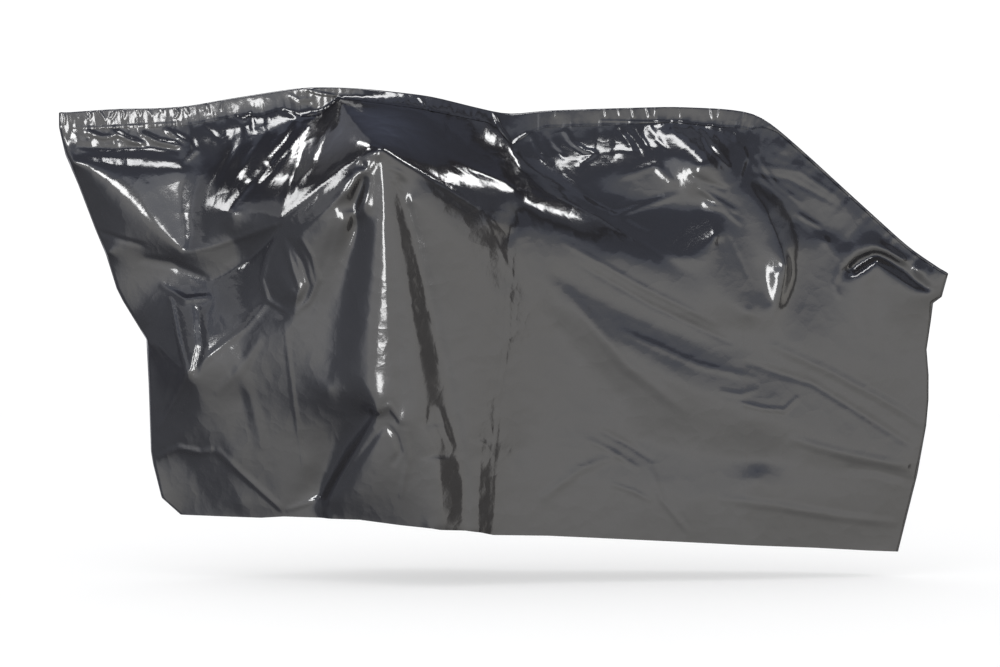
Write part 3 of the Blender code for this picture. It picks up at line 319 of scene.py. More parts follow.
# Fine creases of the near side: height of the crest over the film (below it if negative),
# width of its flank on the left and on the right as it is walked, then the points that it
# runs through, (along, height).
NEAR_CREASES = [
    # Front corner and first swag.
    (0.35, 0.7, 0.7, (-75.6, -11.8), (-72.4, -8.5), (-73.4, -5.6), (-74.2, -2.6)),
    (0.04, 2.4, 2.4, (-74.3, -8.2), (-74.6, -20.0), (-74.8, -30.7)),
    (0.3, 1.0, 0.6, (-74.8, -32.4), (-67.4, -30.9), (-59.1, -28.1), (-51.5, -25.0)),
    (-0.38, 1.2, 1.9, (-85.9, -33.7), (-77.7, -34.8), (-68.9, -38.8)),
    (-0.3, 0.8, 1.0, (-68.4, -39.0), (-60.4, -34.4), (-52.0, -27.6)),
    (-0.3, 0.7, 1.0, (-95.5, -27.6), (-89.2, -29.5), (-84.1, -30.8)),
    # Under the front weld.
    (0.5, 1.2, 0.6, (-98.8, -4.0), (-94.5, -5.6), (-89.8, -4.9)),
    (0.45, 1.1, 0.6, (-92.6, -3.7), (-88.8, -5.9), (-84.5, -7.3)),
    (0.5, 1.2, 0.6, (-85.5, -4.5), (-81.2, -6.6), (-76.0, -7.5)),
    (0.4, 1.0, 0.6, (-79.9, -3.5), (-77.0, -5.2), (-74.6, -6.6)),
    (-0.35, 0.9, 0.9, (-101.1, -7.3), (-93.0, -8.0), (-83.6, -7.5), (-76.0, -8.7)),
    (0.35, 0.5, 0.6, (-63.3, -0.2), (-61.1, -1.6), (-59.8, 0.0), (-58.2, -4.5)),
    (0.25, 0.6, 0.6, (-70.6, -3.0), (-66.5, -5.9), (-64.4, -4.2)),
    (0.35, 0.5, 0.7, (-52.2, 1.0), (-48.1, -0.9), (-42.2, 0.5)),
    (0.5, 1.2, 1.2, (-48.1, -1.2), (-50.7, -6.4), (-55.2, -11.8)),
    (0.2, 1.0, 1.0, (-55.2, -11.8), (-61.6, -19.3), (-64.9, -23.2)),
    (0.2, 0.8, 0.8, (-53.7, -5.0), (-56.3, -9.7)),
    (0.3, 0.8, 1.0, (-49.9, -8.3), (-53.7, -13.4), (-57.3, -17.2)),
    (-0.2, 1.0, 1.0, (-55.6, -3.5), (-59.1, -9.7), (-63.6, -16.7)),
    (0.15, 1.2, 1.2, (-62.2, -4.5), (-65.3, -11.8), (-69.4, -19.1)),
    (-0.3, 1.4, 1.4, (-46.1, -3.1), (-47.5, -10.6), (-50.1, -18.8), (-51.9, -23.4)),
    (0.3, 1.0, 1.4, (-39.0, 1.1), (-42.5, -6.0), (-44.5, -11.8), (-48.2, -17.6)),
    # Grip front band and leaf.
    (0.3, 0.8, 0.8, (-51.7, -24.8), (-44.8, -19.0), (-37.7, -13.0), (-30.2, -9.1)),
    (0.3, 0.8, 0.8, (-47.2, -28.2), (-41.2, -22.6), (-35.3, -17.5), (-29.1, -10.7)),
    (0.36, 0.8, 0.9, (-51.7, -26.2), (-54.8, -32.5), (-56.2, -38.5), (-54.8, -43.1),
     (-49.3, -46.5)),
    (0.35, 0.8, 0.6, (-47.2, -28.2), (-44.1, -32.8), (-42.7, -38.3), (-44.8, -43.0),
     (-49.0, -46.5)),
    (0.35, 0.8, 0.8, (-51.5, -27.4), (-49.2, -34.2), (-46.9, -40.7), (-48.8, -45.8)),
    (-0.3, 0.8, 0.8, (-49.6, -28.7), (-46.4, -34.2), (-45.0, -39.5), (-47.1, -43.7)),
    # Pocket and wheel front.
    (0.5, 0.7, 0.7, (-78.4, -42.6), (-76.5, -51.6), (-74.0, -60.4)),
    (0.3, 1.2, 1.2, (-80.9, -40.0), (-74.7, -43.4), (-68.4, -42.5)),
    (-0.6, 1.6, 0.8, (-71.7, -44.9), (-70.8, -53.9), (-72.5, -61.0)),
    (0.3, 0.8, 1.2, (-74.0, -60.6), (-67.6, -55.4), (-60.0, -49.3), (-54.8, -43.1)),
    (0.35, 0.8, 0.8, (-81.4, -53.7), (-78.8, -56.7), (-74.0, -60.4)),
    (0.3, 0.8, 1.5, (-74.0, -61.1), (-77.5, -67.5), (-81.6, -74.8)),
    (0.4, 0.6, 1.3, (-82.1, -80.8), (-76.7, -78.2), (-71.3, -79.1), (-68.0, -78.4)),
    (0.35, 1.3, 0.8, (-68.0, -78.4), (-60.0, -85.4), (-51.6, -92.8)),
    (0.4, 0.7, 1.3, (-41.8, -89.0), (-36.4, -81.0), (-29.2, -69.0)),
    (0.25, 0.8, 0.8, (-51.1, -92.5), (-46.4, -90.9), (-41.8, -89.0)),
    (-0.3, 0.9, 0.9, (-39.0, -88.0), (-33.1, -79.2), (-27.5, -71.3)),
    (0.16, 0.6, 0.6, (-50.7, -48.1), (-48.8, -66.1), (-47.2, -77.8), (-45.4, -89.9)),
    (0.2, 2.0, 2.0, (-63.8, -53.7), (-59.0, -66.4), (-56.2, -78.0)),
    (0.2, 1.6, 1.6, (-56.1, -51.2), (-61.4, -59.5), (-67.5, -65.5)),
    # Centre fan.
    (0.35, 0.6, 1.4, (-27.0, -8.8), (-21.6, -12.0), (-14.7, -15.9), (-5.3, -22.2)),
    (0.45, 1.4, 1.2, (-13.7, -9.5), (-7.9, -12.7), (-0.9, -15.3), (2.3, -16.7)),
    (0.1, 0.8, 0.8, (-5.3, -22.2), (-0.9, -22.7), (2.1, -23.4)),
    (0.1, 0.8, 0.8, (-5.3, -22.2), (-0.9, -25.7), (2.1, -28.7)),
    (0.08, 0.8, 0.8, (-5.3, -22.4), (-1.6, -29.1), (1.4, -37.3)),
    (-0.26, 4.0, 1.2, (-27.5, -9.1), (-26.5, -17.5), (-25.9, -29.0), (-25.2, -42.7),
     (-24.3, -56.5), (-23.4, -70.3)),
    (-0.12, 1.2, 1.2, (-34.9, -15.2), (-39.6, -29.1), (-45.2, -47.6)),
    (0.25, 0.5, 0.5, (-26.6, -12.5), (-23.8, -13.4), (-22.0, -15.7)),
    (0.2, 0.5, 0.5, (-26.5, -14.8), (-24.3, -16.2), (-22.9, -18.4)),
    (-0.14, 1.0, 1.0, (-16.8, -66.7), (-17.3, -71.4), (-15.2, -76.6)),
    (0.2, 1.3, 1.0, (-15.0, -67.1), (-13.8, -72.1), (-11.8, -77.5)),
    (0.35, 0.8, 0.7, (-29.2, -68.8), (-26.2, -66.9), (-23.4, -71.2)),
    (-0.35, 0.9, 0.9, (-27.1, -71.3), (-24.8, -74.0), (-23.9, -77.7), (-25.7, -80.9)),
    (0.25, 1.0, 1.0, (-22.9, -72.1), (-22.0, -79.5), (-23.9, -88.8)),
    (0.5, 5.6, 4.0, (-16.4, -71.5), (-15.2, -83.1), (-14.1, -96.3)),
    (0.65, 6.2, 5.0, (-15.2, -78.9), (-14.7, -87.7), (-14.1, -96.3)),
    (0.5, 4.2, 3.2, (-5.6, -75.4), (-6.0, -86.8), (-6.3, -96.5)),
    (0.06, 0.4, 0.4, (2.8, -5.4), (1.8, -31.4), (0.9, -52.4), (-1.2, -66.3), (-2.8, -89.5),
     (-3.3, -96.9)),
    (0.04, 0.35, 0.35, (1.2, -8.3), (0.2, -31.4), (-0.7, -52.4), (-2.8, -66.4), (-4.4, -89.5)),
    # Saddle.
    (-0.22, 0.6, 0.6, (1.9, -7.8), (3.5, -13.2), (9.6, -18.3), (22.4, -24.0), (31.7, -29.8),
     (37.1, -33.3)),
    (0.2, 1.2, 1.4, (6.1, -14.4), (16.6, -19.1), (28.3, -25.1), (34.6, -28.9)),
    (0.5, 0.7, 0.7, (14.4, -3.5), (16.0, -6.4), (19.0, -8.5), (21.9, -9.0)),
    (0.4, 0.6, 0.6, (21.9, -9.0), (18.5, -11.1), (17.4, -13.0)),
    (0.12, 0.6, 0.6, (21.9, -9.0), (27.3, -8.3), (32.4, -9.0)),
    (0.3, 0.6, 0.6, (26.7, -3.0), (29.2, -6.4), (30.5, -9.2)),
    (0.3, 0.6, 0.6, (30.7, -2.8), (33.1, -6.4), (34.7, -9.7)),
    (-0.25, 0.6, 0.6, (28.8, -3.0), (31.3, -6.6), (32.8, -9.7)),
    (0.3, 0.6, 0.6, (34.5, -2.8), (36.2, -5.9), (38.5, -8.7)),
    (0.2, 1.2, 1.4, (26.5, -15.1), (35.4, -11.8), (40.5, -16.7)),
    (0.3, 1.4, 0.9, (24.5, -24.4), (31.8, -21.9), (41.4, -18.8)),
    (-0.15, 1.4, 1.4, (13.1, -13.4), (19.0, -17.7), (22.5, -21.2)),
    (0.4, 1.0, 1.0, (45.6, -17.2), (49.6, -20.0), (54.7, -23.0)),
    (0.3, 0.8, 0.8, (46.5, -20.9), (51.4, -22.1), (55.6, -25.6)),
    (-0.3, 1.0, 1.0, (43.5, -14.1), (47.2, -15.8), (52.4, -17.6)),
    (0.35, 0.8, 0.8, (6.1, -4.2), (8.0, -8.3), (11.3, -12.0)),
    (-0.3, 0.8, 0.8, (9.7, -4.2), (11.3, -7.8), (14.6, -10.6)),
    (0.3, 0.8, 0.8, (46.2, -3.5), (48.8, -8.3), (53.0, -12.5)),
    # Rear roof and tongue.
    (-0.12, 0.9, 0.9, (50.9, -25.8), (54.6, -32.8), (57.8, -39.8)),
    (0.15, 0.8, 0.8, (51.0, -3.0), (56.5, -8.3), (61.1, -15.3), (67.0, -20.2)),
    (0.18, 0.8, 0.8, (61.0, -2.6), (59.8, -9.4), (63.9, -16.3), (70.8, -21.2)),
    (-0.18, 0.9, 0.9, (58.3, -13.4), (67.3, -15.3), (78.9, -21.4)),
    (0.15, 0.8, 0.8, (59.5, -11.8), (69.8, -13.4), (79.8, -20.0)),
    (0.3, 0.8, 0.8, (69.3, -23.3), (72.1, -25.1), (74.9, -26.6)),
    (-0.3, 0.8, 0.8, (57.2, -4.0), (57.9, -10.6), (55.7, -16.7)),
    (0.1, 1.2, 1.2, (67.0, -21.2), (73.9, -28.2), (79.9, -34.5)),
    (-0.1, 1.2, 1.2, (62.7, -8.2), (72.7, -12.0), (80.9, -16.8)),
    (0.08, 1.0, 1.0, (70.0, -5.9), (76.1, -12.0), (83.2, -18.2), (91.3, -25.8)),
    (0.25, 1.0, 1.0, (79.9, -34.5), (77.7, -39.9), (79.0, -43.4)),
    # Rear corner and lower rear.
    (-0.25, 1.3, 1.3, (56.2, -57.8), (64.4, -60.6), (72.6, -63.2), (85.3, -71.1), (96.9, -78.6)),
    (0.25, 1.5, 1.5, (62.0, -53.8), (76.2, -60.2), (88.1, -66.5), (99.5, -73.3)),
    (0.3, 0.8, 0.8, (54.9, -67.5), (61.0, -68.9), (65.7, -69.4), (69.3, -66.2)),
    (0.2, 0.8, 0.8, (50.2, -64.7), (55.4, -65.6), (59.6, -64.3)),
    (-0.3, 2.0, 2.0, (80.4, -83.2), (88.1, -84.0), (97.9, -86.8)),
    (0.3, 1.6, 1.6, (66.6, -75.9), (79.6, -79.8), (96.1, -83.2)),
    (0.2, 1.0, 1.0, (34.4, -82.4), (36.7, -89.8), (43.3, -98.0)),
    (0.2, 1.0, 1.0, (19.5, -75.7), (25.1, -78.6), (31.6, -82.8)),
    (-0.2, 1.0, 1.0, (22.3, -73.4), (29.3, -77.2), (35.1, -81.0)),
    (0.2, 0.8, 0.8, (24.6, -86.0), (30.2, -87.9), (34.4, -90.2)),
    (0.13, 0.5, 0.5, (55.4, -46.0), (56.1, -66.5), (56.9, -99.3)),
    (0.25, 2.0, 2.0, (14.4, -40.8), (28.1, -58.3), (43.2, -70.0)),
    (0.2, 1.2, 1.2, (26.9, -50.2), (45.6, -58.6), (59.7, -62.0)),
    (0.2, 1.0, 1.0, (13.0, -29.3), (31.6, -40.0), (50.3, -49.3)),
    (-0.2, 1.0, 1.0, (16.5, -34.4), (34.0, -44.4), (53.8, -53.8)),
    (0.1, 1.6, 1.6, (83.3, -43.4), (85.7, -52.8), (86.1, -62.2)),
    (-0.08, 1.8, 1.8, (88.1, -45.8), (90.1, -55.2), (91.1, -67.0)),
    (0.25, 1.5, 1.5, (50.3, -89.9), (64.4, -91.9), (81.0, -95.0), (93.5, -96.6)),
    (0.2, 1.5, 1.5, (8.3, -89.5), (17.6, -82.7), (27.0, -79.3)),
]

# The same for the strip's near wing: where its weld has pinched it.
HEADING_CREASES = [
    (0.12, 0.3, 0.3, (-104.5, -2.8), (-95.5, -3.0), (-74.7, -1.9)),
    (0.12, 0.3, 0.3, (22.7, -1.4), (32.1, -1.6), (44.0, -1.6)),
    (0.22, 0.45, 0.45, (-104.0, 0.8), (-103.5, -0.9), (-103.8, -2.6)),
    (0.22, 0.45, 0.45, (-98.4, 1.5), (-97.4, 0.0), (-97.9, -1.4)),
    (0.26, 0.45, 0.45, (-96.0, 1.7), (-94.8, 0.0), (-93.9, -1.4)),
    (0.26, 0.45, 0.45, (-92.7, 2.2), (-92.0, 0.5), (-92.7, -1.1)),
    (0.22, 0.45, 0.45, (-90.3, 1.9), (-89.4, 0.3), (-89.8, -1.1)),
    (0.18, 0.4, 0.4, (-86.5, 1.7), (-85.8, -0.2)),
    (0.18, 0.4, 0.4, (-83.7, 1.2), (-83.0, -0.4)),
    (0.18, 0.4, 0.4, (-80.9, 1.9), (-80.4, 0.3)),
    (0.26, 0.45, 0.45, (-77.8, 2.2), (-76.6, 0.5), (-77.3, -1.1)),
    (0.22, 0.45, 0.45, (-75.0, 2.2), (-74.2, 0.0)),
    (0.14, 0.4, 0.4, (-70.0, 2.6), (-69.3, 0.3)),
    (0.12, 0.4, 0.4, (-66.2, 3.1), (-66.7, 0.8)),
    (0.22, 0.45, 0.45, (-50.6, 4.8), (-48.2, 3.4), (-46.1, 4.1)),
    (0.18, 0.45, 0.45, (-48.2, 2.9), (-44.9, 3.8)),
    (0.3, 0.5, 0.5, (-47.8, 6.2), (-43.5, 5.0), (-39.2, 4.3)),
    (-0.25, 0.5, 0.5, (-40.2, 4.1), (-37.5, 3.6)),
    (0.26, 0.45, 0.45, (-20.1, 4.3), (-19.1, 2.9), (-18.6, 1.7)),
    (0.2, 0.45, 0.45, (-18.2, 1.9), (-16.0, 0.2)),
    (0.3, 0.5, 0.5, (-2.6, 0.8), (-0.9, -3.1), (1.6, -6.6)),
    (0.22, 0.45, 0.45, (5.9, -4.2), (3.8, -5.4), (1.9, -7.3)),
    (0.16, 0.4, 0.4, (12.3, 1.7), (12.3, -0.7)),
    (0.24, 0.45, 0.45, (23.9, 1.9), (24.1, -0.7)),
    (0.2, 0.4, 0.4, (27.0, 1.9), (27.4, -0.4)),
    (0.26, 0.45, 0.45, (30.3, 1.9), (30.7, -0.7)),
    (0.26, 0.45, 0.45, (33.6, 1.9), (34.5, -0.7)),
    (0.18, 0.4, 0.4, (35.9, 1.7), (35.7, -0.7)),
    (0.14, 0.4, 0.4, (41.6, 1.7), (41.8, -0.7)),
    (0.24, 0.45, 0.45, (48.9, 1.9), (49.4, -1.1)),
    (0.2, 0.4, 0.4, (51.1, 1.7), (50.6, -0.9)),
    (0.14, 0.4, 0.4, (57.0, 1.2), (56.7, -1.4)),
]

# What the film mirrors at each height: (sine of the height, share, tint).
MIRRORED_HEIGHTS = [
    (-1.0, 0.35, "#FFFEFA"),
    (-0.60, 0.60, "#FFFEFA"),
    (-0.30, 0.84, "#FFFEFA"),
    (-0.05, 1.0, "#FFFEFC"),
    (0.10, 0.93, "#FFFFFE"),
    (0.27, 0.76, "#FAFBFF"),
    (0.31, 0.58, "#F0F5FF"),
    (0.50, 0.50, "#DEE8FF"),
    (0.55, 0.26, "#D2DFFF"),
    (0.82, 0.20, "#D2DFFF"),
    (0.86, 0.34, "#D2DFFF"),
    (1.0, 0.36, "#D2DFFF"),
]
# The same from the cover's front end to its rear end: (sine of the bearing, share, tint).
MIRRORED_BEARINGS = [
    (-1.0, 0.24, "#E4ECFF"),
    (-0.85, 0.36, "#E4ECFF"),
    (-0.78, 0.72, "#F0F4FF"),
    (-0.68, 1.0, "#FBFCFF"),
    (0.30, 1.0, "#FFFFFF"),
    (0.79, 0.95, "#FFFEFC"),
    (0.83, 0.26, "#FFFCF6"),
    (0.90, 0.20, "#FFFCF6"),
    (0.94, 0.80, "#FFFCF6"),
    (1.0, 0.86, "#FFFCF6"),
]
# The same from the camera's side to behind the cover: (the direction's share of +Y, share,
# tint). Steep roofs and edges that turn away mirror what is behind.
MIRRORED_DEPTHS = [
    (-1.0, 1.0, "#FFFFFF"),
    (0.0, 1.0, "#FFFFFF"),
    (0.2, 0.42, "#F4F6FF"),
    (1.0, 0.36, "#F4F6FF"),
]

# Softboxes, whose white shapes the film's folds mirror, and dimmer panels between them: name,
# place, target and size in metres, and full power in watts.
SOFTBOXES = [
    ("front softbox", (-0.6, -1.6, 2.7), (-0.3, 0.0, -0.3), (2.1, 0.6), 70.0),
    ("middle softbox", (-1.15, -3.8, -0.1), (-0.2, 0.0, -0.4), (0.8, 1.7), 80.0),
    ("front left softbox", (-2.9, -3.2, 0.4), (-0.5, 0.0, -0.3), (0.7, 0.7), 35.0),
    ("high left softbox", (-2.5, -0.15, 2.15), (-0.6, 0.0, -0.15), (0.5, 0.5), 16.0),
    ("left softbox", (-3.14, -0.3, 1.02), (-0.4, -0.25, -0.2), (0.7, 1.0), 30.0),
    ("left panel", (-3.66, -1.66, 1.0), (-0.7, 0.0, -0.2), (1.4, 1.2), 4.5),
    ("back right softbox", (1.98, 0.36, 2.3), (-0.05, 0.0, -0.15), (0.5, 0.5), 16.0),
    ("upper left softbox", (-2.0, 0.95, 2.36), (-0.57, 0.0, -0.1), (0.7, 0.7), 30.0),
    ("back left panel", (-2.5, 2.1, 2.55), (-0.4, 0.0, -0.2), (3.0, 2.2), 7.0),
    ("front panel", (-1.1, -3.65, 1.35), (-0.8, 0.0, -0.2), (2.2, 1.1), 8.0),
]

# Where the film is crumpled: (along, height, half length, half height, amount).
CRUMPLED = [
    (-88.0, -3.0, 18.0, 4.0, 0.8), (-52.0, -5.0, 12.0, 8.0, 0.5), (10.0, -6.0, 8.0, 5.0, 0.5),
    (32.0, -6.0, 16.0, 5.0, 0.6), (58.0, -14.0, 7.0, 8.0, 0.5), (68.0, -20.0, 5.0, 5.0, 0.2),
    (47.0, -28.0, 6.0, 6.0, 0.3), (-50.0, -38.0, 8.0, 8.0, 0.4), (-33.0, -88.0, 7.0, 5.0, 0.35),
    (0.0, -55.0, 3.0, 14.0, 0.35),
]

# Gathers under the heading: (wave length, height, drift of its phase).
GATHERS = [(7.3, 0.10, 0.9), (3.9, 0.07, 1.7), (2.1, 0.045, 0.6), (1.2, 0.02, 2.3)]

# Puckers across the heading: (wave length, share of the tallest, drift of its phase, length
# over which it drifts, phase shift on the far wing, which is the other way on the near wing).
PUCKERS = [(1.9, 0.35, 2.2, 5.3, 1), (5.7, 0.3, 1.6, 11.0, -1)]
PUCKER_MEAN = 0.45

# Facets that handling has pressed into the film: (wave length, height, bearing in degrees of
# the lines' normals, how much the lines wander as a share of the wave length).
FACETS = [
    (17.0, 0.12, 62.0, 0.32), (11.0, 0.08, 20.0, 0.38), (8.3, 0.06, -41.0, 0.45),
    (5.7, 0.04, 74.0, 0.40), (4.1, 0.03, 8.0, 0.50), (2.9, 0.02, -62.0, 0.45),
]


def lengths_to(points):
    """The length walked along the polyline up to each of its points, as seen from the side."""
    runs = np.hypot(np.diff(points[:, 0]), np.diff(points[:, 1]))
    return np.concatenate([[0.0], np.cumsum(runs)])


def counted(points, count):
    """The polyline's points again, as a given number of evenly spaced ones."""
    points = np.array(points, float)
    reached = lengths_to(points)
    wanted = np.linspace(0.0, reached[-1], count)
    return np.stack([np.interp(wanted, reached, column) for column in points.T], axis=1)


def spaced(points, step):
    """The polyline's points again, evenly spaced about one step apart along it."""
    reached = lengths_to(np.array(points, float))
    return counted(points, max(2, int(round(reached[-1] / step)) + 1))


def softened(points, passes=2):
    """The polyline with its corners eased and its ends kept: each point moves halfway to the
    middle of its two neighbours."""
    points = points.copy()
    for _ in range(passes):
        points[1:-1] = 0.5 * points[1:-1] + 0.25 * (points[:-2] + points[2:])
    return points


def thinned(samples, distance):
    """The samples in order, without any that comes too near one kept before it."""
    kept = samples[:1]
    for sample in samples[1:]:
        if np.hypot(*(kept[:, :2] - sample[:2]).T).min() > distance:
            kept = np.concatenate([kept, sample[None, :]])
    return kept


def inward_of(chain):
    """Unit directions square to the chain, on its right-hand side as it is walked."""
    along = np.gradient(chain, axis=0)
    along /= np.linalg.norm(along, axis=1, keepdims=True)
    return np.stack([along[:, 1], -along[:, 0]], axis=1)


def in_blocks(function, points, size=4096):
    """The function of the points, worked out a block at a time to spare memory."""
    blocks = np.array_split(points, max(1, len(points) // size))
    return np.concatenate([function(block) for block in blocks])


class TopLine:
    """The film's closed top edge, and the weld of the heading strip under it on each side."""

    def __init__(self):
        self.points = softened(spaced(TOP_EDGE, EDGE_STEP))
        self.points[1:-1] += TOP_INSET * inward_of(self.points)[1:-1]
        self.points = spaced(self.points, TOP_STEP)
        # Eased far more than the line, so that the strip's sections don't cross in its bends.
        self.down = inward_of(softened(self.points, passes=60))
        self.reached = lengths_to(self.points)
        table = np.array(HEADING)
        self.columns = {
            side: [np.interp(self.points[:, 0], table[:, 0], table[:, k]) for k in pair]
            for side, pair in ((-1, (1, 2)), (1, (3, 4)))
        }

    def weld(self, side):
        """The weld's points on one side, as a fold's are: (along, height, depth)."""
        widths, depths = self.columns[side]
        return np.column_stack([self.points + self.down * widths[:, None], depths])

    def near(self, points, side):
        """For each point: how far along the top its nearest place is, how far the point is
        from it, and how wide the heading is there."""

        def nearest(block):
            gaps = np.hypot(
                block[:, None, 0] - self.points[None, :, 0],
                block[:, None, 1] - self.points[None, :, 1],
            )
            place = gaps.argmin(axis=1)
            distance = gaps[np.arange(len(block)), place]
            return np.column_stack([self.reached[place], distance, self.columns[side][0][place]])

        return in_blocks(nearest, points).T


class Drape:
    """One side of the film, as a depth at each place (x, z) of the cover's middle plane.

    The depth is a sum of rounded cones, one on each sample of each fold, and a plane:
    depth(p) = sum of w * sqrt(|p - q|^2 + r^2) + a + b x + c z, where q is the sample, r its
    fold's radius and w its weight. The weights make the film pass close by every sample, so
    it is stretched between the folds and bends along them.
    """

    def __init__(self, top_line, side, folds, hem, creases):
        self.top_line = top_line
        self.side = side
        self.creases = creases
        rows = []
        # Every third point of the weld will do. Its ends are left to the closed corners.
        weld = ("weld", EDGE_RADIUS, *top_line.weld(side)[8:-8:3])
        for _, radius, *points in [weld, *folds]:
            line = spaced(points, CONE_STEP)
            rows.append(np.column_stack([line, np.full(len(line), radius)]))
        for edge in (top_line.points, FRONT_EDGE, REAR_EDGE):
            closed = spaced(edge, EDGE_STEP)
            rest = np.tile([EDGE_HALF_DEPTH, EDGE_RADIUS], (len(closed), 1))
            rows.append(np.column_stack([closed, rest]))
        open_edge = spaced(hem, CONE_STEP)
        rows.append(np.column_stack([open_edge, np.full(len(open_edge), HEM_RADIUS)]))
        samples = thinned(np.concatenate(rows), LEAST_GAP)
        self.places = samples[:, :2]
        self.radii = samples[:, 3]
        count = len(samples)
        cones = self.cones(self.places) - FIT_SLACK * np.eye(count)
        plane = self.plane(self.places)
        system = np.block([[cones, plane], [plane.T, np.zeros((3, 3))]])
        self.weights = np.linalg.solve(system, np.concatenate([samples[:, 2], np.zeros(3)]))

    def cones(self, points):
        """The height of every sample's cone, before it is weighted, at each point."""
        across = points[:, None, 0] - self.places[None, :, 0]
        up = points[:, None, 1] - self.places[None, :, 1]
        return np.sqrt(across**2 + up**2 + self.radii[None, :] ** 2)

    def plane(self, points):
        """The plane's three terms at each point: 1, x and z, the last two in metres."""
        return np.column_stack([np.ones(len(points)), points / 100.0])

    def smooth_depth(self, points):
        """For each point: the stretched film's depth, and about how far the nearest sample
        is."""

        def depth(block):
            cones = self.cones(block)
            smooth = np.concatenate([cones, self.plane(block)], axis=1) @ self.weights
            return np.column_stack([smooth, cones.min(axis=1)])

        return in_blocks(depth, points).T

    def slack(self, points, distance):
        """How far the film is crumpled there: a little all over, with a bell-shaped hill of
        it round each crumpled place, and none at the closed top."""
        amount = np.full(len(points), CALM)
        for along, height, half_length, half_height, most in CRUMPLED:
            across = (points[:, 0] - along) / half_length
            up = (points[:, 1] - height) / half_height
            amount += most * np.exp(-(across**2) - up**2)
        return amount * np.clip(distance / FACET_REACH, 0.0, 1.0)

    def depth(self, points):
        """The stretched film, with its gathers, its facets and its fine creases on it. The
        gathers are waves along the top whose phases wander. They grow from the closed edge
        to the weld and die out below it. The facets are weaker beside a fold."""
        depth, from_fold = self.smooth_depth(points)
        depth = np.maximum(depth, 0.0)
        reached, distance, width = self.top_line.near(points, self.side)
        below = distance / width
        past_weld = np.maximum(distance - width, 0.0)
        fade = np.minimum(below, 1.0) ** 2 * np.exp(-past_weld / GATHER_REACH)
        # The bare numbers in the phases only keep the waves out of step with each other.
        phase_shift = self.side * 1.3
        for wave_length, height, drift in GATHERS:
            turn = 2.0 * np.pi * reached / wave_length + phase_shift
            wander = drift * np.sin(reached / (2.7 * wave_length) + phase_shift)
            depth += height * np.sin(turn + 3.0 * wander) * fade
        grown = np.clip(from_fold / FLANK - FLANK_START, 0.0, 1.0)
        beside_fold = FOLD_FACETS + (1.0 - FOLD_FACETS) * grown
        depth += self.slack(points, distance) * beside_fold * facets(points, self.side)
        for height, left_width, right_width, *line in self.creases:
            depth += crest(points, np.array(line), height, left_width, right_width)
        return depth


def facets(points, side):
    """Flat facets with straight creases between them: a sum of triangle waves across lines
    of several bearings, each line wandering slowly along its length. The bare numbers in the
    phases only keep the waves out of step with each other."""
    height = np.zeros(len(points))
    for number, (wave_length, rise, bearing, wander) in enumerate(FACETS):
        angle = np.radians(bearing * side)
        across = points @ np.array([np.cos(angle), np.sin(angle)])
        along = points @ np.array([-np.sin(angle), np.cos(angle)])
        drift = wander * np.sin(along / (0.55 * wave_length) + 2.1 * number + side)
        drift = drift + 0.5 * wander * np.sin(along / (0.23 * wave_length) + 4.7 * number)
        turn = across / wave_length + drift + 0.37 * number
        height += rise * (4.0 * np.abs(turn - np.floor(turn + 0.5)) - 1.0)
    return height


def crest(points, line, height, left_width, right_width):
    """A crease along a line: height times (1 - distance / width), which is a straight flank on
    each side of a sharp crest, with its own width on each, and fades out at both ends."""
    widest = max(left_width, right_width)
    inside = (points > line.min(axis=0) - widest) & (points < line.max(axis=0) + widest)
    close = np.flatnonzero(inside.all(axis=1))
    near = points[close]
    reached = lengths_to(line)
    distance = np.full(len(near), np.inf)
    along = np.zeros(len(near))
    width = np.full(len(near), left_width)
    for start, end, from_start in zip(line[:-1], line[1:], reached):
        step = end - start
        run = np.hypot(*step)
        share = np.clip((near - start) @ step / run**2, 0.0, 1.0)
        gap = np.hypot(*(near - start - share[:, None] * step).T)
        to_left = step[0] * (near[:, 1] - start[1]) - step[1] * (near[:, 0] - start[0]) > 0.0
        closer = gap < distance
        distance = np.where(closer, gap, distance)
        along = np.where(closer, from_start + share * run, along)
        width = np.where(closer, np.where(to_left, left_width, right_width), width)
    # The crest is highest half way along, and falls away mostly in its last stretches.
    share = np.clip(along / reached[-1], 0.0, 1.0)
    ends = (4.0 * share * (1.0 - share)) ** 0.4
    raised = np.zeros(len(points))
    raised[close] = height * ends * np.clip(1.0 - distance / width, 0.0, 1.0)
    return raised


def placed(points, depths, side, sway):
    """World positions in metres: side is -1 for the near side and 1 for the far side."""
    wander = sway * np.sin(2.0 * np.pi * points[:, 0] / LENGTH)
    return CM * np.column_stack([points[:, 0], wander + side * depths, points[:, 1] + UNDERSIDE])


def patch(top, bottom, left, right):
    """A grid of points (x, z) inside four edge chains: the sum of the two ways of drawing
    straight lines across them, less the same from the four corners alone."""
    columns, rows = len(top), len(left)
    u = np.linspace(0.0, 1.0, columns)[None, :, None]
    v = np.linspace(0.0, 1.0, rows)[:, None, None]
    across = (1.0 - u) * left[:, None, :] + u * right[:, None, :]
    down = (1.0 - v) * top[None, :, :] + v * bottom[None, :, :]
    corners = (1.0 - v) * ((1.0 - u) * top[0] + u * top[-1])
    corners = corners + v * ((1.0 - u) * bottom[0] + u * bottom[-1])
    return across + down - corners


def quads(numbers, turned):
    """Quads over a grid of vertex numbers, in either winding."""
    a, b = numbers[:-1, :-1], numbers[:-1, 1:]
    c, d = numbers[1:, 1:], numbers[1:, :-1]
    order = (a, b, c, d) if turned else (a, d, c, b)
    return np.stack([corner.ravel() for corner in order], axis=1)


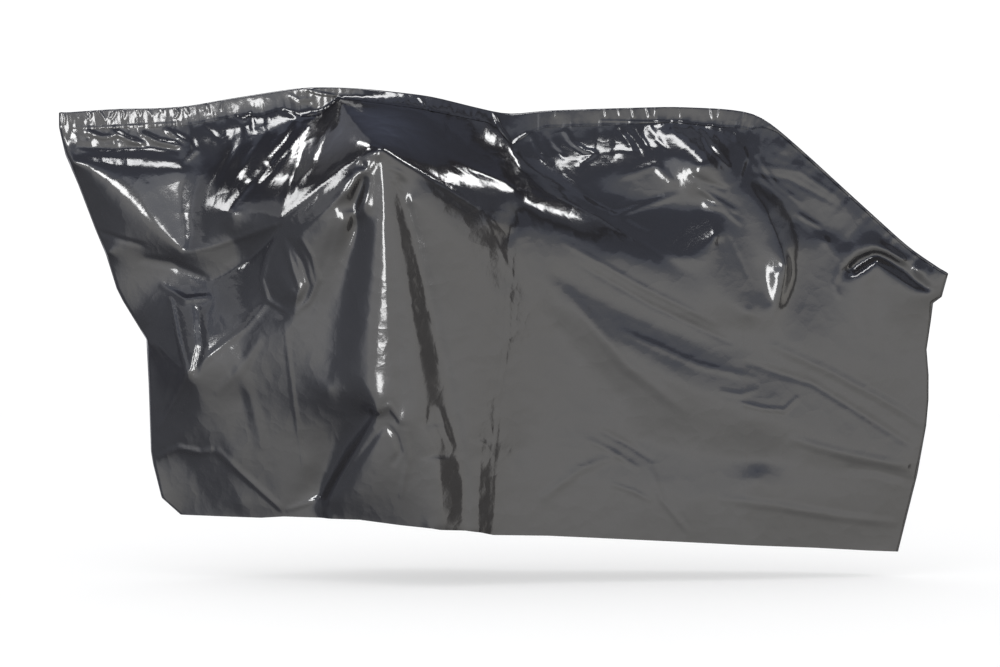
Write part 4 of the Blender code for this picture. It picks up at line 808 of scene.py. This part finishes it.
def mesh_object(name, vertices, face_blocks, material):
    """A smooth mesh object at the origin, from an array of vertices and from arrays of faces,
    each of which has faces with one number of corners."""
    corners = np.concatenate([block.ravel() for block in face_blocks])
    lengths = np.concatenate([np.full(len(block), block.shape[1]) for block in face_blocks])
    mesh = bpy.data.meshes.new(name)
    mesh.vertices.add(len(vertices))
    mesh.vertices.foreach_set("co", np.asarray(vertices, np.float32).ravel())
    mesh.loops.add(len(corners))
    mesh.loops.foreach_set("vertex_index", corners)
    mesh.polygons.add(len(lengths))
    mesh.polygons.foreach_set("loop_start", np.concatenate([[0], np.cumsum(lengths)[:-1]]))
    mesh.update(calc_edges=True)
    mesh.shade_smooth()
    mesh.materials.append(material)
    obj = bpy.data.objects.new(name, mesh)
    bpy.context.scene.collection.objects.link(obj)
    return obj


def film_surface(settings):
    """The bag as one sheet: a near and a far grid that share the closed edge all round.

    Each grid is the patch inside the outline, and each of its points stands at the side's
    depth there. The far grid has half the rows and columns, so the film's calm side costs
    less, and its outermost faces take in the near grid's vertices along the shared edge.
    """
    columns, rows = settings.columns // 2 * 2 + 1, settings.rows // 2 * 2 + 1
    top = counted(TOP_LINE.points, columns)
    front = counted(FRONT_EDGE, rows)
    rear = counted(REAR_EDGE, rows)
    front[0], rear[0] = top[0], top[-1]
    near_hem = counted(NEAR_HEM, columns)[:, :2]
    far_hem = counted(FAR_HEM, columns)[:, :2]
    near_hem[0], near_hem[-1] = front[-1], rear[-1]
    far_hem[0], far_hem[-1] = front[-1], rear[-1]
    near = patch(top, near_hem, front, rear)
    far = patch(top, far_hem, front, rear)[::2, ::2]

    near_depth = NEAR_SIDE.depth(near.reshape(-1, 2)).reshape(near.shape[:2])
    far_depth = FAR_SIDE.depth(far.reshape(-1, 2)).reshape(far.shape[:2])
    near_depth[0, :] = near_depth[:, 0] = near_depth[:, -1] = 0.0
    near_places = placed(near.reshape(-1, 2), near_depth.ravel(), -1, settings.sway)

    near_numbers = np.arange(near_depth.size).reshape(near_depth.shape)
    inner = far[1:, 1:-1]
    far_places = placed(inner.reshape(-1, 2), far_depth[1:, 1:-1].ravel(), 1, settings.sway)
    far_numbers = np.empty(far_depth.shape, int)
    far_numbers[0] = near_numbers[0, ::2]
    far_numbers[:, 0] = near_numbers[::2, 0]
    far_numbers[:, -1] = near_numbers[::2, -1]
    first = near_depth.size
    count = inner.shape[0] * inner.shape[1]
    far_numbers[1:, 1:-1] = np.arange(first, first + count).reshape(inner.shape[:2])

    places = np.concatenate([near_places, far_places])
    return places, film_faces(near_numbers, far_numbers)


def film_faces(near, far):
    """The faces of both sides, from the numbers of the near and the far grid's vertices. All
    are quads but the far side's along the shared edge, which also have a near vertex between
    two far ones. The two in its top corners have two such vertices."""
    top_row = [far[0, 1:-2], near[0, 3:-2:2], far[0, 2:-1], far[1, 2:-1], far[1, 1:-2]]
    front_row = [far[1:-1, 0], far[1:-1, 1], far[2:, 1], far[2:, 0], near[3::2, 0]]
    rear_row = [far[1:-1, -2], far[1:-1, -1], near[3::2, -1], far[2:, -1], far[2:, -2]]
    corners = [
        [far[0, 0], near[0, 1], far[0, 1], far[1, 1], far[1, 0], near[1, 0]],
        [far[0, -2], near[0, -2], far[0, -1], near[1, -1], far[1, -1], far[1, -2]],
    ]
    return [
        quads(near, turned=False),
        quads(far[1:, 1:-1], turned=True),
        *[np.column_stack(row) for row in (top_row, front_row, rear_row)],
        np.array(corners),
    ]


def heading_surface(settings, sway):
    """The strip as a section carried along the top edge: up the near wing from its weld, over
    the fold and down the far wing. Each wing point stands a small gap off the film beneath it,
    upright puckers swell the wing between its fold and its weld, and the near wing has its
    pinched creases on top.
    """
    columns, wing_rows = settings.columns, settings.wing_rows
    reached = np.linspace(STRIP_END, TOP_LINE.reached[-1] - STRIP_END, columns)
    top, down = [
        np.stack([np.interp(reached, TOP_LINE.reached, c) for c in along.T], axis=1)
        for along in (TOP_LINE.points, TOP_LINE.down)
    ]
    down /= np.linalg.norm(down, axis=1, keepdims=True)
    rows = []
    for side, drape in ((-1, NEAR_SIDE), (1, FAR_SIDE)):
        widths = np.interp(reached, TOP_LINE.reached, TOP_LINE.columns[side][0])
        share = np.linspace(1.0, 0.0, wing_rows)[:, None]
        reach = share * (widths - WELD_MARGIN)[None, :]
        points = top[None] + reach[:, :, None] * down[None]
        flat = points.reshape(-1, 2)
        depth = np.maximum(drape.depth(flat), LEAST_DEPTH).reshape(points.shape[:2])
        across = np.sin(np.pi * share**PUCKER_LEAN)
        swell = settings.pucker * pucker(reached, side)[None, :] * across
        lip = LIP_HEIGHT * np.exp(-(((share - LIP_PLACE) / LIP_SPREAD) ** 2))
        stand = settings.gap + swell + lip
        if side < 0:
            for height, left_width, right_width, *line in HEADING_CREASES:
                raised = crest(flat, np.array(line), height, left_width, right_width)
                stand = stand + raised.reshape(depth.shape)
        wing = placed(flat, (depth + stand).ravel(), side, sway).reshape(*depth.shape, 3)
        rows.append(wing if side < 0 else wing[::-1])
    fold_turns = np.linspace(-1.0, 1.0, FOLD_POINTS + 2)[1:-1]
    near_top, far_top = rows[0][-1], rows[1][0]
    middle = 0.5 * (near_top + far_top)
    half = 0.5 * (far_top - near_top)
    lift = CM * settings.gap * np.stack([-down[:, 0], np.zeros(columns), -down[:, 1]], axis=1)
    fold = [middle + t * half + np.sqrt(1.0 - t * t) * lift for t in fold_turns]
    section = np.concatenate([rows[0], np.array(fold), rows[1]])
    numbers = np.arange(section.shape[0] * columns).reshape(section.shape[:2])
    return section.reshape(-1, 3), [quads(numbers, turned=True)]


def pucker(reached, side):
    """Upright puckers as a height from 0 to 1: the sum of two waves of the arc length whose
    phases wander, so that no two puckers are alike."""
    height = np.full(len(reached), PUCKER_MEAN)
    for wave_length, share, drift, drift_length, shift in PUCKERS:
        wander = drift * np.sin(reached / drift_length) + shift * side
        height += share * np.sin(2.0 * np.pi * reached / wave_length + wander)
    return np.clip(height, 0.0, 1.0)


def linear_colour(hex_colour):
    """An sRGB hex colour as linear red, green and blue with full alpha."""
    channels = [int(hex_colour[i : i + 2], 16) / 255.0 for i in (1, 3, 5)]
    linear = [c / 12.92 if c <= 0.04045 else ((c + 0.055) / 1.055) ** 2.4 for c in channels]
    return (*linear, 1.0)


def add_node(tree, kind, settings=None, **links):
    """A node with its settings and its inputs, by name or as i0, i1 and so on by number: a
    value is set, and a socket is linked."""
    node = tree.nodes.new(kind)
    for key, value in (settings or {}).items():
        setattr(node, key, value)
    for key, value in links.items():
        socket = node.inputs[int(key[1:]) if key[1:].isdigit() else key]
        if isinstance(value, bpy.types.NodeSocket):
            tree.links.new(value, socket)
        else:
            socket.default_value = value
    return node


def polyethylene_film(name, finish):
    """Blown low-density polyethylene film with dark grey pigment: glossy, with the slightly
    rippled skin that a blown film has, so reflections break up into soft-edged patches."""
    material = bpy.data.materials.new(name)
    material.use_nodes = True
    tree = material.node_tree
    tree.nodes.clear()
    output = tree.nodes.new("ShaderNodeOutputMaterial")
    shader = tree.nodes.new("ShaderNodeBsdfPrincipled")
    shader.inputs["Base Color"].default_value = tuple(finish.colour)
    shader.inputs["IOR"].default_value = FILM_IOR
    tree.links.new(shader.outputs["BSDF"], output.inputs["Surface"])
    place = tree.nodes.new("ShaderNodeTexCoord").outputs["Object"]

    # Handling crumples film into facets about 45 mm wide (22 in a metre) and at most 4 mm deep,
    # and bends their edges in waves of about 70 mm (14 in a metre).
    warp = add_node(tree, "ShaderNodeTexNoise", Vector=place, Scale=14.0, Detail=2.0)
    bent = add_node(
        tree, "ShaderNodeVectorMath", {"operation": "MULTIPLY_ADD"},
        i0=warp.outputs["Color"], i1=(0.05, 0.05, 0.05), i2=place,
    )
    cells = add_node(
        tree, "ShaderNodeTexVoronoi", {"feature": "F1"}, Vector=bent.outputs[0], Scale=22.0
    )
    # The blown film's own ripple, about 17 mm long (60 in a metre) and at most 1 mm deep.
    ripple = add_node(
        tree, "ShaderNodeTexNoise", Vector=place, Scale=60.0, Detail=3.0, Roughness=0.55
    )
    facet_bump = add_node(
        tree, "ShaderNodeBump", Strength=finish.crumple, Distance=0.004,
        Height=cells.outputs["Distance"],
    )
    ripple_bump = add_node(
        tree, "ShaderNodeBump", Strength=finish.ripple, Distance=0.001,
        Height=ripple.outputs[0], Normal=facet_bump.outputs[0],
    )
    tree.links.new(ripple_bump.outputs[0], shader.inputs["Normal"])
    # Scuffed stretches, about 140 mm long (7 in a metre), scatter more than the rest.
    scuff = add_node(tree, "ShaderNodeTexNoise", Vector=place, Scale=7.0, Detail=3.0)
    roughness = add_node(
        tree, "ShaderNodeMapRange", i0=scuff.outputs[0], i1=0.3, i2=0.7,
        i3=finish.roughness * 0.8, i4=finish.roughness * 1.35,
    )
    tree.links.new(roughness.outputs[0], shader.inputs["Roughness"])
    return material


class FilmSettings(bpy.types.PropertyGroup):
    columns: IntProperty(
        name="Columns", description="Grid columns from the front to the rear",
        default=400, min=40, max=440,
    )
    rows: IntProperty(
        name="Rows", description="Grid rows from the top to the hem",
        default=190, min=20, max=220,
    )
    sway: FloatProperty(
        name="Sway", description="How far the middle plane wanders sideways, in centimetres",
        default=2.0, min=0.0, max=3.0,
    )


class HeadingSettings(bpy.types.PropertyGroup):
    columns: IntProperty(
        name="Columns", description="Sections along the top edge", default=900, min=100, max=1500
    )
    wing_rows: IntProperty(
        name="Wing rows", description="Points from weld to fold", default=18, min=4, max=30
    )
    gap: FloatProperty(
        name="Stand-off", description="How far off the film beneath it lies, in centimetres",
        default=0.1, min=0.05, max=0.3,
    )
    pucker: FloatProperty(
        name="Pucker", description="Height of the tallest pucker, in centimetres",
        default=0.05, min=0.0, max=0.5,
    )


class FinishSettings(bpy.types.PropertyGroup):
    colour: FloatVectorProperty(
        name="Colour", description="Pigment of the film", subtype="COLOR", size=4,
        default=linear_colour("#242325"), min=0.0, max=1.0,
    )
    roughness: FloatProperty(
        name="Roughness", description="Roughness of the film's gloss", default=0.11,
        min=0.0, max=1.0, subtype="FACTOR",
    )
    crumple: FloatProperty(
        name="Crumple", description="Strength of the shallow facets", default=0.25,
        min=0.0, max=1.0, subtype="FACTOR",
    )
    ripple: FloatProperty(
        name="Ripple", description="Strength of the film's fine ripple", default=0.32,
        min=0.0, max=1.0, subtype="FACTOR",
    )


class StageSettings(bpy.types.PropertyGroup):
    floor_level: FloatProperty(
        name="Floor level", description="Height of the floor that the wheels would stand on",
        default=-1.095, unit="LENGTH",
    )
    camera_distance: FloatProperty(
        name="Camera distance", description="From the cover's middle plane to the camera",
        default=9.0, unit="LENGTH",
    )
    view_width: FloatProperty(
        name="View width", description="Width seen at the cover's middle plane",
        default=2.365, unit="LENGTH",
    )
    surroundings: FloatProperty(
        name="Surroundings", description="Brightness of the studio that the film mirrors",
        default=2.6, min=0.0, max=10.0,
    )
    softbox_power: FloatProperty(
        name="Softbox power", description="Share of each softbox's full power", default=1.0,
        min=0.0, max=3.0,
    )
    floor_colour: FloatVectorProperty(
        name="Floor", description="Colour of the floor", subtype="COLOR", size=4,
        default=linear_colour("#AFAFAF"), min=0.0, max=1.0,
    )
    floor_glow: FloatProperty(
        name="Floor glow", description="How brightly the floor is lit from below", default=0.55,
        min=0.0, max=2.0,
    )


class COVER_OT_film_body(bpy.types.Operator):
    """Make the draped film bag in place of its plain solid"""

    bl_idname = "cover.film_body"
    bl_label = "Film body"

    def execute(self, context):
        settings = context.scene.cover_film
        vertices, face_blocks = film_surface(settings)
        material = polyethylene_film("blown polyethylene film", context.scene.cover_finish)
        film = mesh_object("film_sheet", vertices, face_blocks, material)
        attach(film, "root")
        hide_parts("film_body")
        return {"FINISHED"}


class COVER_OT_heading_strip(bpy.types.Operator):
    """Make the folded strip that is welded over the closed top edge"""

    bl_idname = "cover.heading_strip"
    bl_label = "Heading strip"

    def execute(self, context):
        settings = context.scene.cover_heading
        vertices, face_blocks = heading_surface(settings, context.scene.cover_film.sway)
        material = polyethylene_film("welded polyethylene film", context.scene.cover_finish)
        strip = mesh_object("heading_film", vertices, face_blocks, material)
        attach(strip, "root")
        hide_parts("heading_strip")
        return {"FINISHED"}


class COVER_OT_stage(bpy.types.Operator):
    """Lay the pale floor, light the cover and aim the camera at its near side"""

    bl_idname = "cover.stage"
    bl_label = "Stage"

    def execute(self, context):
        settings = context.scene.cover_stage
        make_floor(settings)
        make_world(settings)
        for name, place, target, size, power in SOFTBOXES:
            softbox(name, place, target, size, power * settings.softbox_power)
        data = bpy.data.cameras.new("camera")
        data.sensor_width = SENSOR_WIDTH
        data.lens = SENSOR_WIDTH * settings.camera_distance / settings.view_width
        camera = bpy.data.objects.new("camera", data)
        tilt = np.radians(CAMERA_TILT)
        away = Vector((0.0, -np.cos(tilt), np.sin(tilt)))
        camera.location = Vector(VIEW_CENTRE) + settings.camera_distance * away
        camera.rotation_euler = away.to_track_quat("Z", "Y").to_euler()
        context.scene.collection.objects.link(camera)
        context.scene.camera = camera
        context.scene.view_settings.view_transform = "Standard"
        return {"FINISHED"}


def softbox(name, place, target, size, power):
    """A rectangular area light that faces its target, and that only gloss shows."""
    data = bpy.data.lights.new(name, "AREA")
    data.shape = "RECTANGLE"
    data.size, data.size_y = size
    data.energy = power
    light = bpy.data.objects.new(name, data)
    light.location = place
    light.visible_diffuse = False
    away = Vector(place) - Vector(target)
    light.rotation_euler = away.to_track_quat("Z", "Y").to_euler()
    bpy.context.scene.collection.objects.link(light)


def make_floor(settings):
    """A pale floor, which the film doesn't mirror: it mirrors the surroundings instead."""
    turns = [(-1.0, -1.0), (1.0, -1.0), (1.0, 1.0), (-1.0, 1.0)]
    vertices = np.array([(FLOOR_HALF * x, FLOOR_HALF * y, settings.floor_level) for x, y in turns])
    material = bpy.data.materials.new("opal acrylic, lit from below")
    material.use_nodes = True
    shader = material.node_tree.nodes["Principled BSDF"]
    shader.inputs["Base Color"].default_value = tuple(settings.floor_colour)
    shader.inputs["Roughness"].default_value = FLOOR_ROUGHNESS
    shader.inputs["Emission Color"].default_value = linear_colour("#FFFFFF")
    shader.inputs["Emission Strength"].default_value = settings.floor_glow
    floor = mesh_object("floor", vertices, [np.array([[0, 1, 2, 3]])], material)
    floor.visible_glossy = False


def make_world(settings):
    """A studio's surroundings. What the film mirrors is brightest on the camera's side, level
    with the film. It is dim and bluish overhead and behind the cover, and dark towards its
    front end and in a band towards its rear end. Matt surfaces are lit evenly all round."""
    world = bpy.data.worlds.new("studio")
    bpy.context.scene.world = world
    world.use_nodes = True
    tree = world.node_tree
    tree.nodes.clear()
    output = tree.nodes.new("ShaderNodeOutputWorld")
    direction = tree.nodes.new("ShaderNodeTexCoord").outputs["Generated"]
    parts = add_node(tree, "ShaderNodeSeparateXYZ", Vector=direction)
    level = add_node(
        tree, "ShaderNodeVectorMath", {"operation": "MULTIPLY"}, i0=direction, i1=(1.0, 1.0, 0.0)
    )
    length = add_node(tree, "ShaderNodeVectorMath", {"operation": "LENGTH"}, i0=level.outputs[0])
    bearing = add_node(
        tree, "ShaderNodeMath", {"operation": "DIVIDE"},
        i0=parts.outputs["X"], i1=length.outputs["Value"],
    )
    # The three tables' colours, one after the other, are multiplied together.
    product = None
    for value, rows in (
        (parts.outputs["Z"], MIRRORED_HEIGHTS),
        (bearing.outputs[0], MIRRORED_BEARINGS),
        (parts.outputs["Y"], MIRRORED_DEPTHS),
    ):
        # A ramp's places run from 0 to 1, and the tables' from -1 to 1.
        factor = add_node(
            tree, "ShaderNodeMath", {"operation": "MULTIPLY_ADD"}, i0=value, i1=0.5, i2=0.5
        )
        ramp = add_node(tree, "ShaderNodeValToRGB", Fac=factor.outputs[0])
        elements = ramp.color_ramp.elements
        while len(elements) < len(rows):
            elements.new(0.5)
        for element, (place, share, tint) in zip(elements, rows):
            element.position = 0.5 + 0.5 * place
            element.color = (*[share * channel for channel in linear_colour(tint)[:3]], 1.0)
        colour = ramp.outputs["Color"]
        if product is not None:
            colour = add_node(
                tree, "ShaderNodeVectorMath", {"operation": "MULTIPLY"}, i0=product, i1=colour
            ).outputs[0]
        product = colour
    mirrored = add_node(
        tree, "ShaderNodeBackground", Color=product, Strength=settings.surroundings
    )
    even = add_node(
        tree, "ShaderNodeBackground", Color=linear_colour("#FFFFFF"), Strength=EVEN_LIGHT
    )
    path = tree.nodes.new("ShaderNodeLightPath")
    mix = add_node(
        tree, "ShaderNodeMixShader", i0=path.outputs["Is Glossy Ray"], i1=even.outputs[0],
        i2=mirrored.outputs[0],
    )
    tree.links.new(mix.outputs[0], output.inputs["Surface"])


class COVER_PT_panel(bpy.types.Panel):
    """Lists the finish, each piece and the stage, with their settings and operators"""

    bl_label = "Film Bicycle Cover"
    bl_idname = "COVER_PT_panel"
    bl_space_type = "VIEW_3D"
    bl_region_type = "UI"
    bl_category = "Cover"

    def draw(self, context):
        for key, group, operators in SETTINGS:
            settings = getattr(context.scene, key)
            box = self.layout.box()
            for name in group.__annotations__:
                box.prop(settings, name)
            for operator in operators:
                box.operator(operator.bl_idname)


# Each group of settings: its name in the scene, its class and the operators that it has.
SETTINGS = [
    ("cover_finish", FinishSettings, []),
    ("cover_film", FilmSettings, [COVER_OT_film_body]),
    ("cover_heading", HeadingSettings, [COVER_OT_heading_strip]),
    ("cover_stage", StageSettings, [COVER_OT_stage]),
]

TOP_LINE = TopLine()
NEAR_SIDE = Drape(TOP_LINE, -1, NEAR_FOLDS, NEAR_HEM, NEAR_CREASES)
FAR_SIDE = Drape(TOP_LINE, 1, FAR_FOLDS, FAR_HEM, [])


def register():
    for key, group, operators in SETTINGS:
        bpy.utils.register_class(group)
        setattr(bpy.types.Scene, key, PointerProperty(type=group))
        for operator in operators:
            bpy.utils.register_class(operator)
    bpy.utils.register_class(COVER_PT_panel)


def unregister():
    bpy.utils.unregister_class(COVER_PT_panel)
    for key, group, operators in reversed(SETTINGS):
        for operator in reversed(operators):
            bpy.utils.unregister_class(operator)
        delattr(bpy.types.Scene, key)
        bpy.utils.unregister_class(group)


def main():
    register()
    bpy.ops.cover.film_body()
    bpy.ops.cover.heading_strip()
    bpy.ops.cover.stage()


if __name__ == "__main__":
    main()
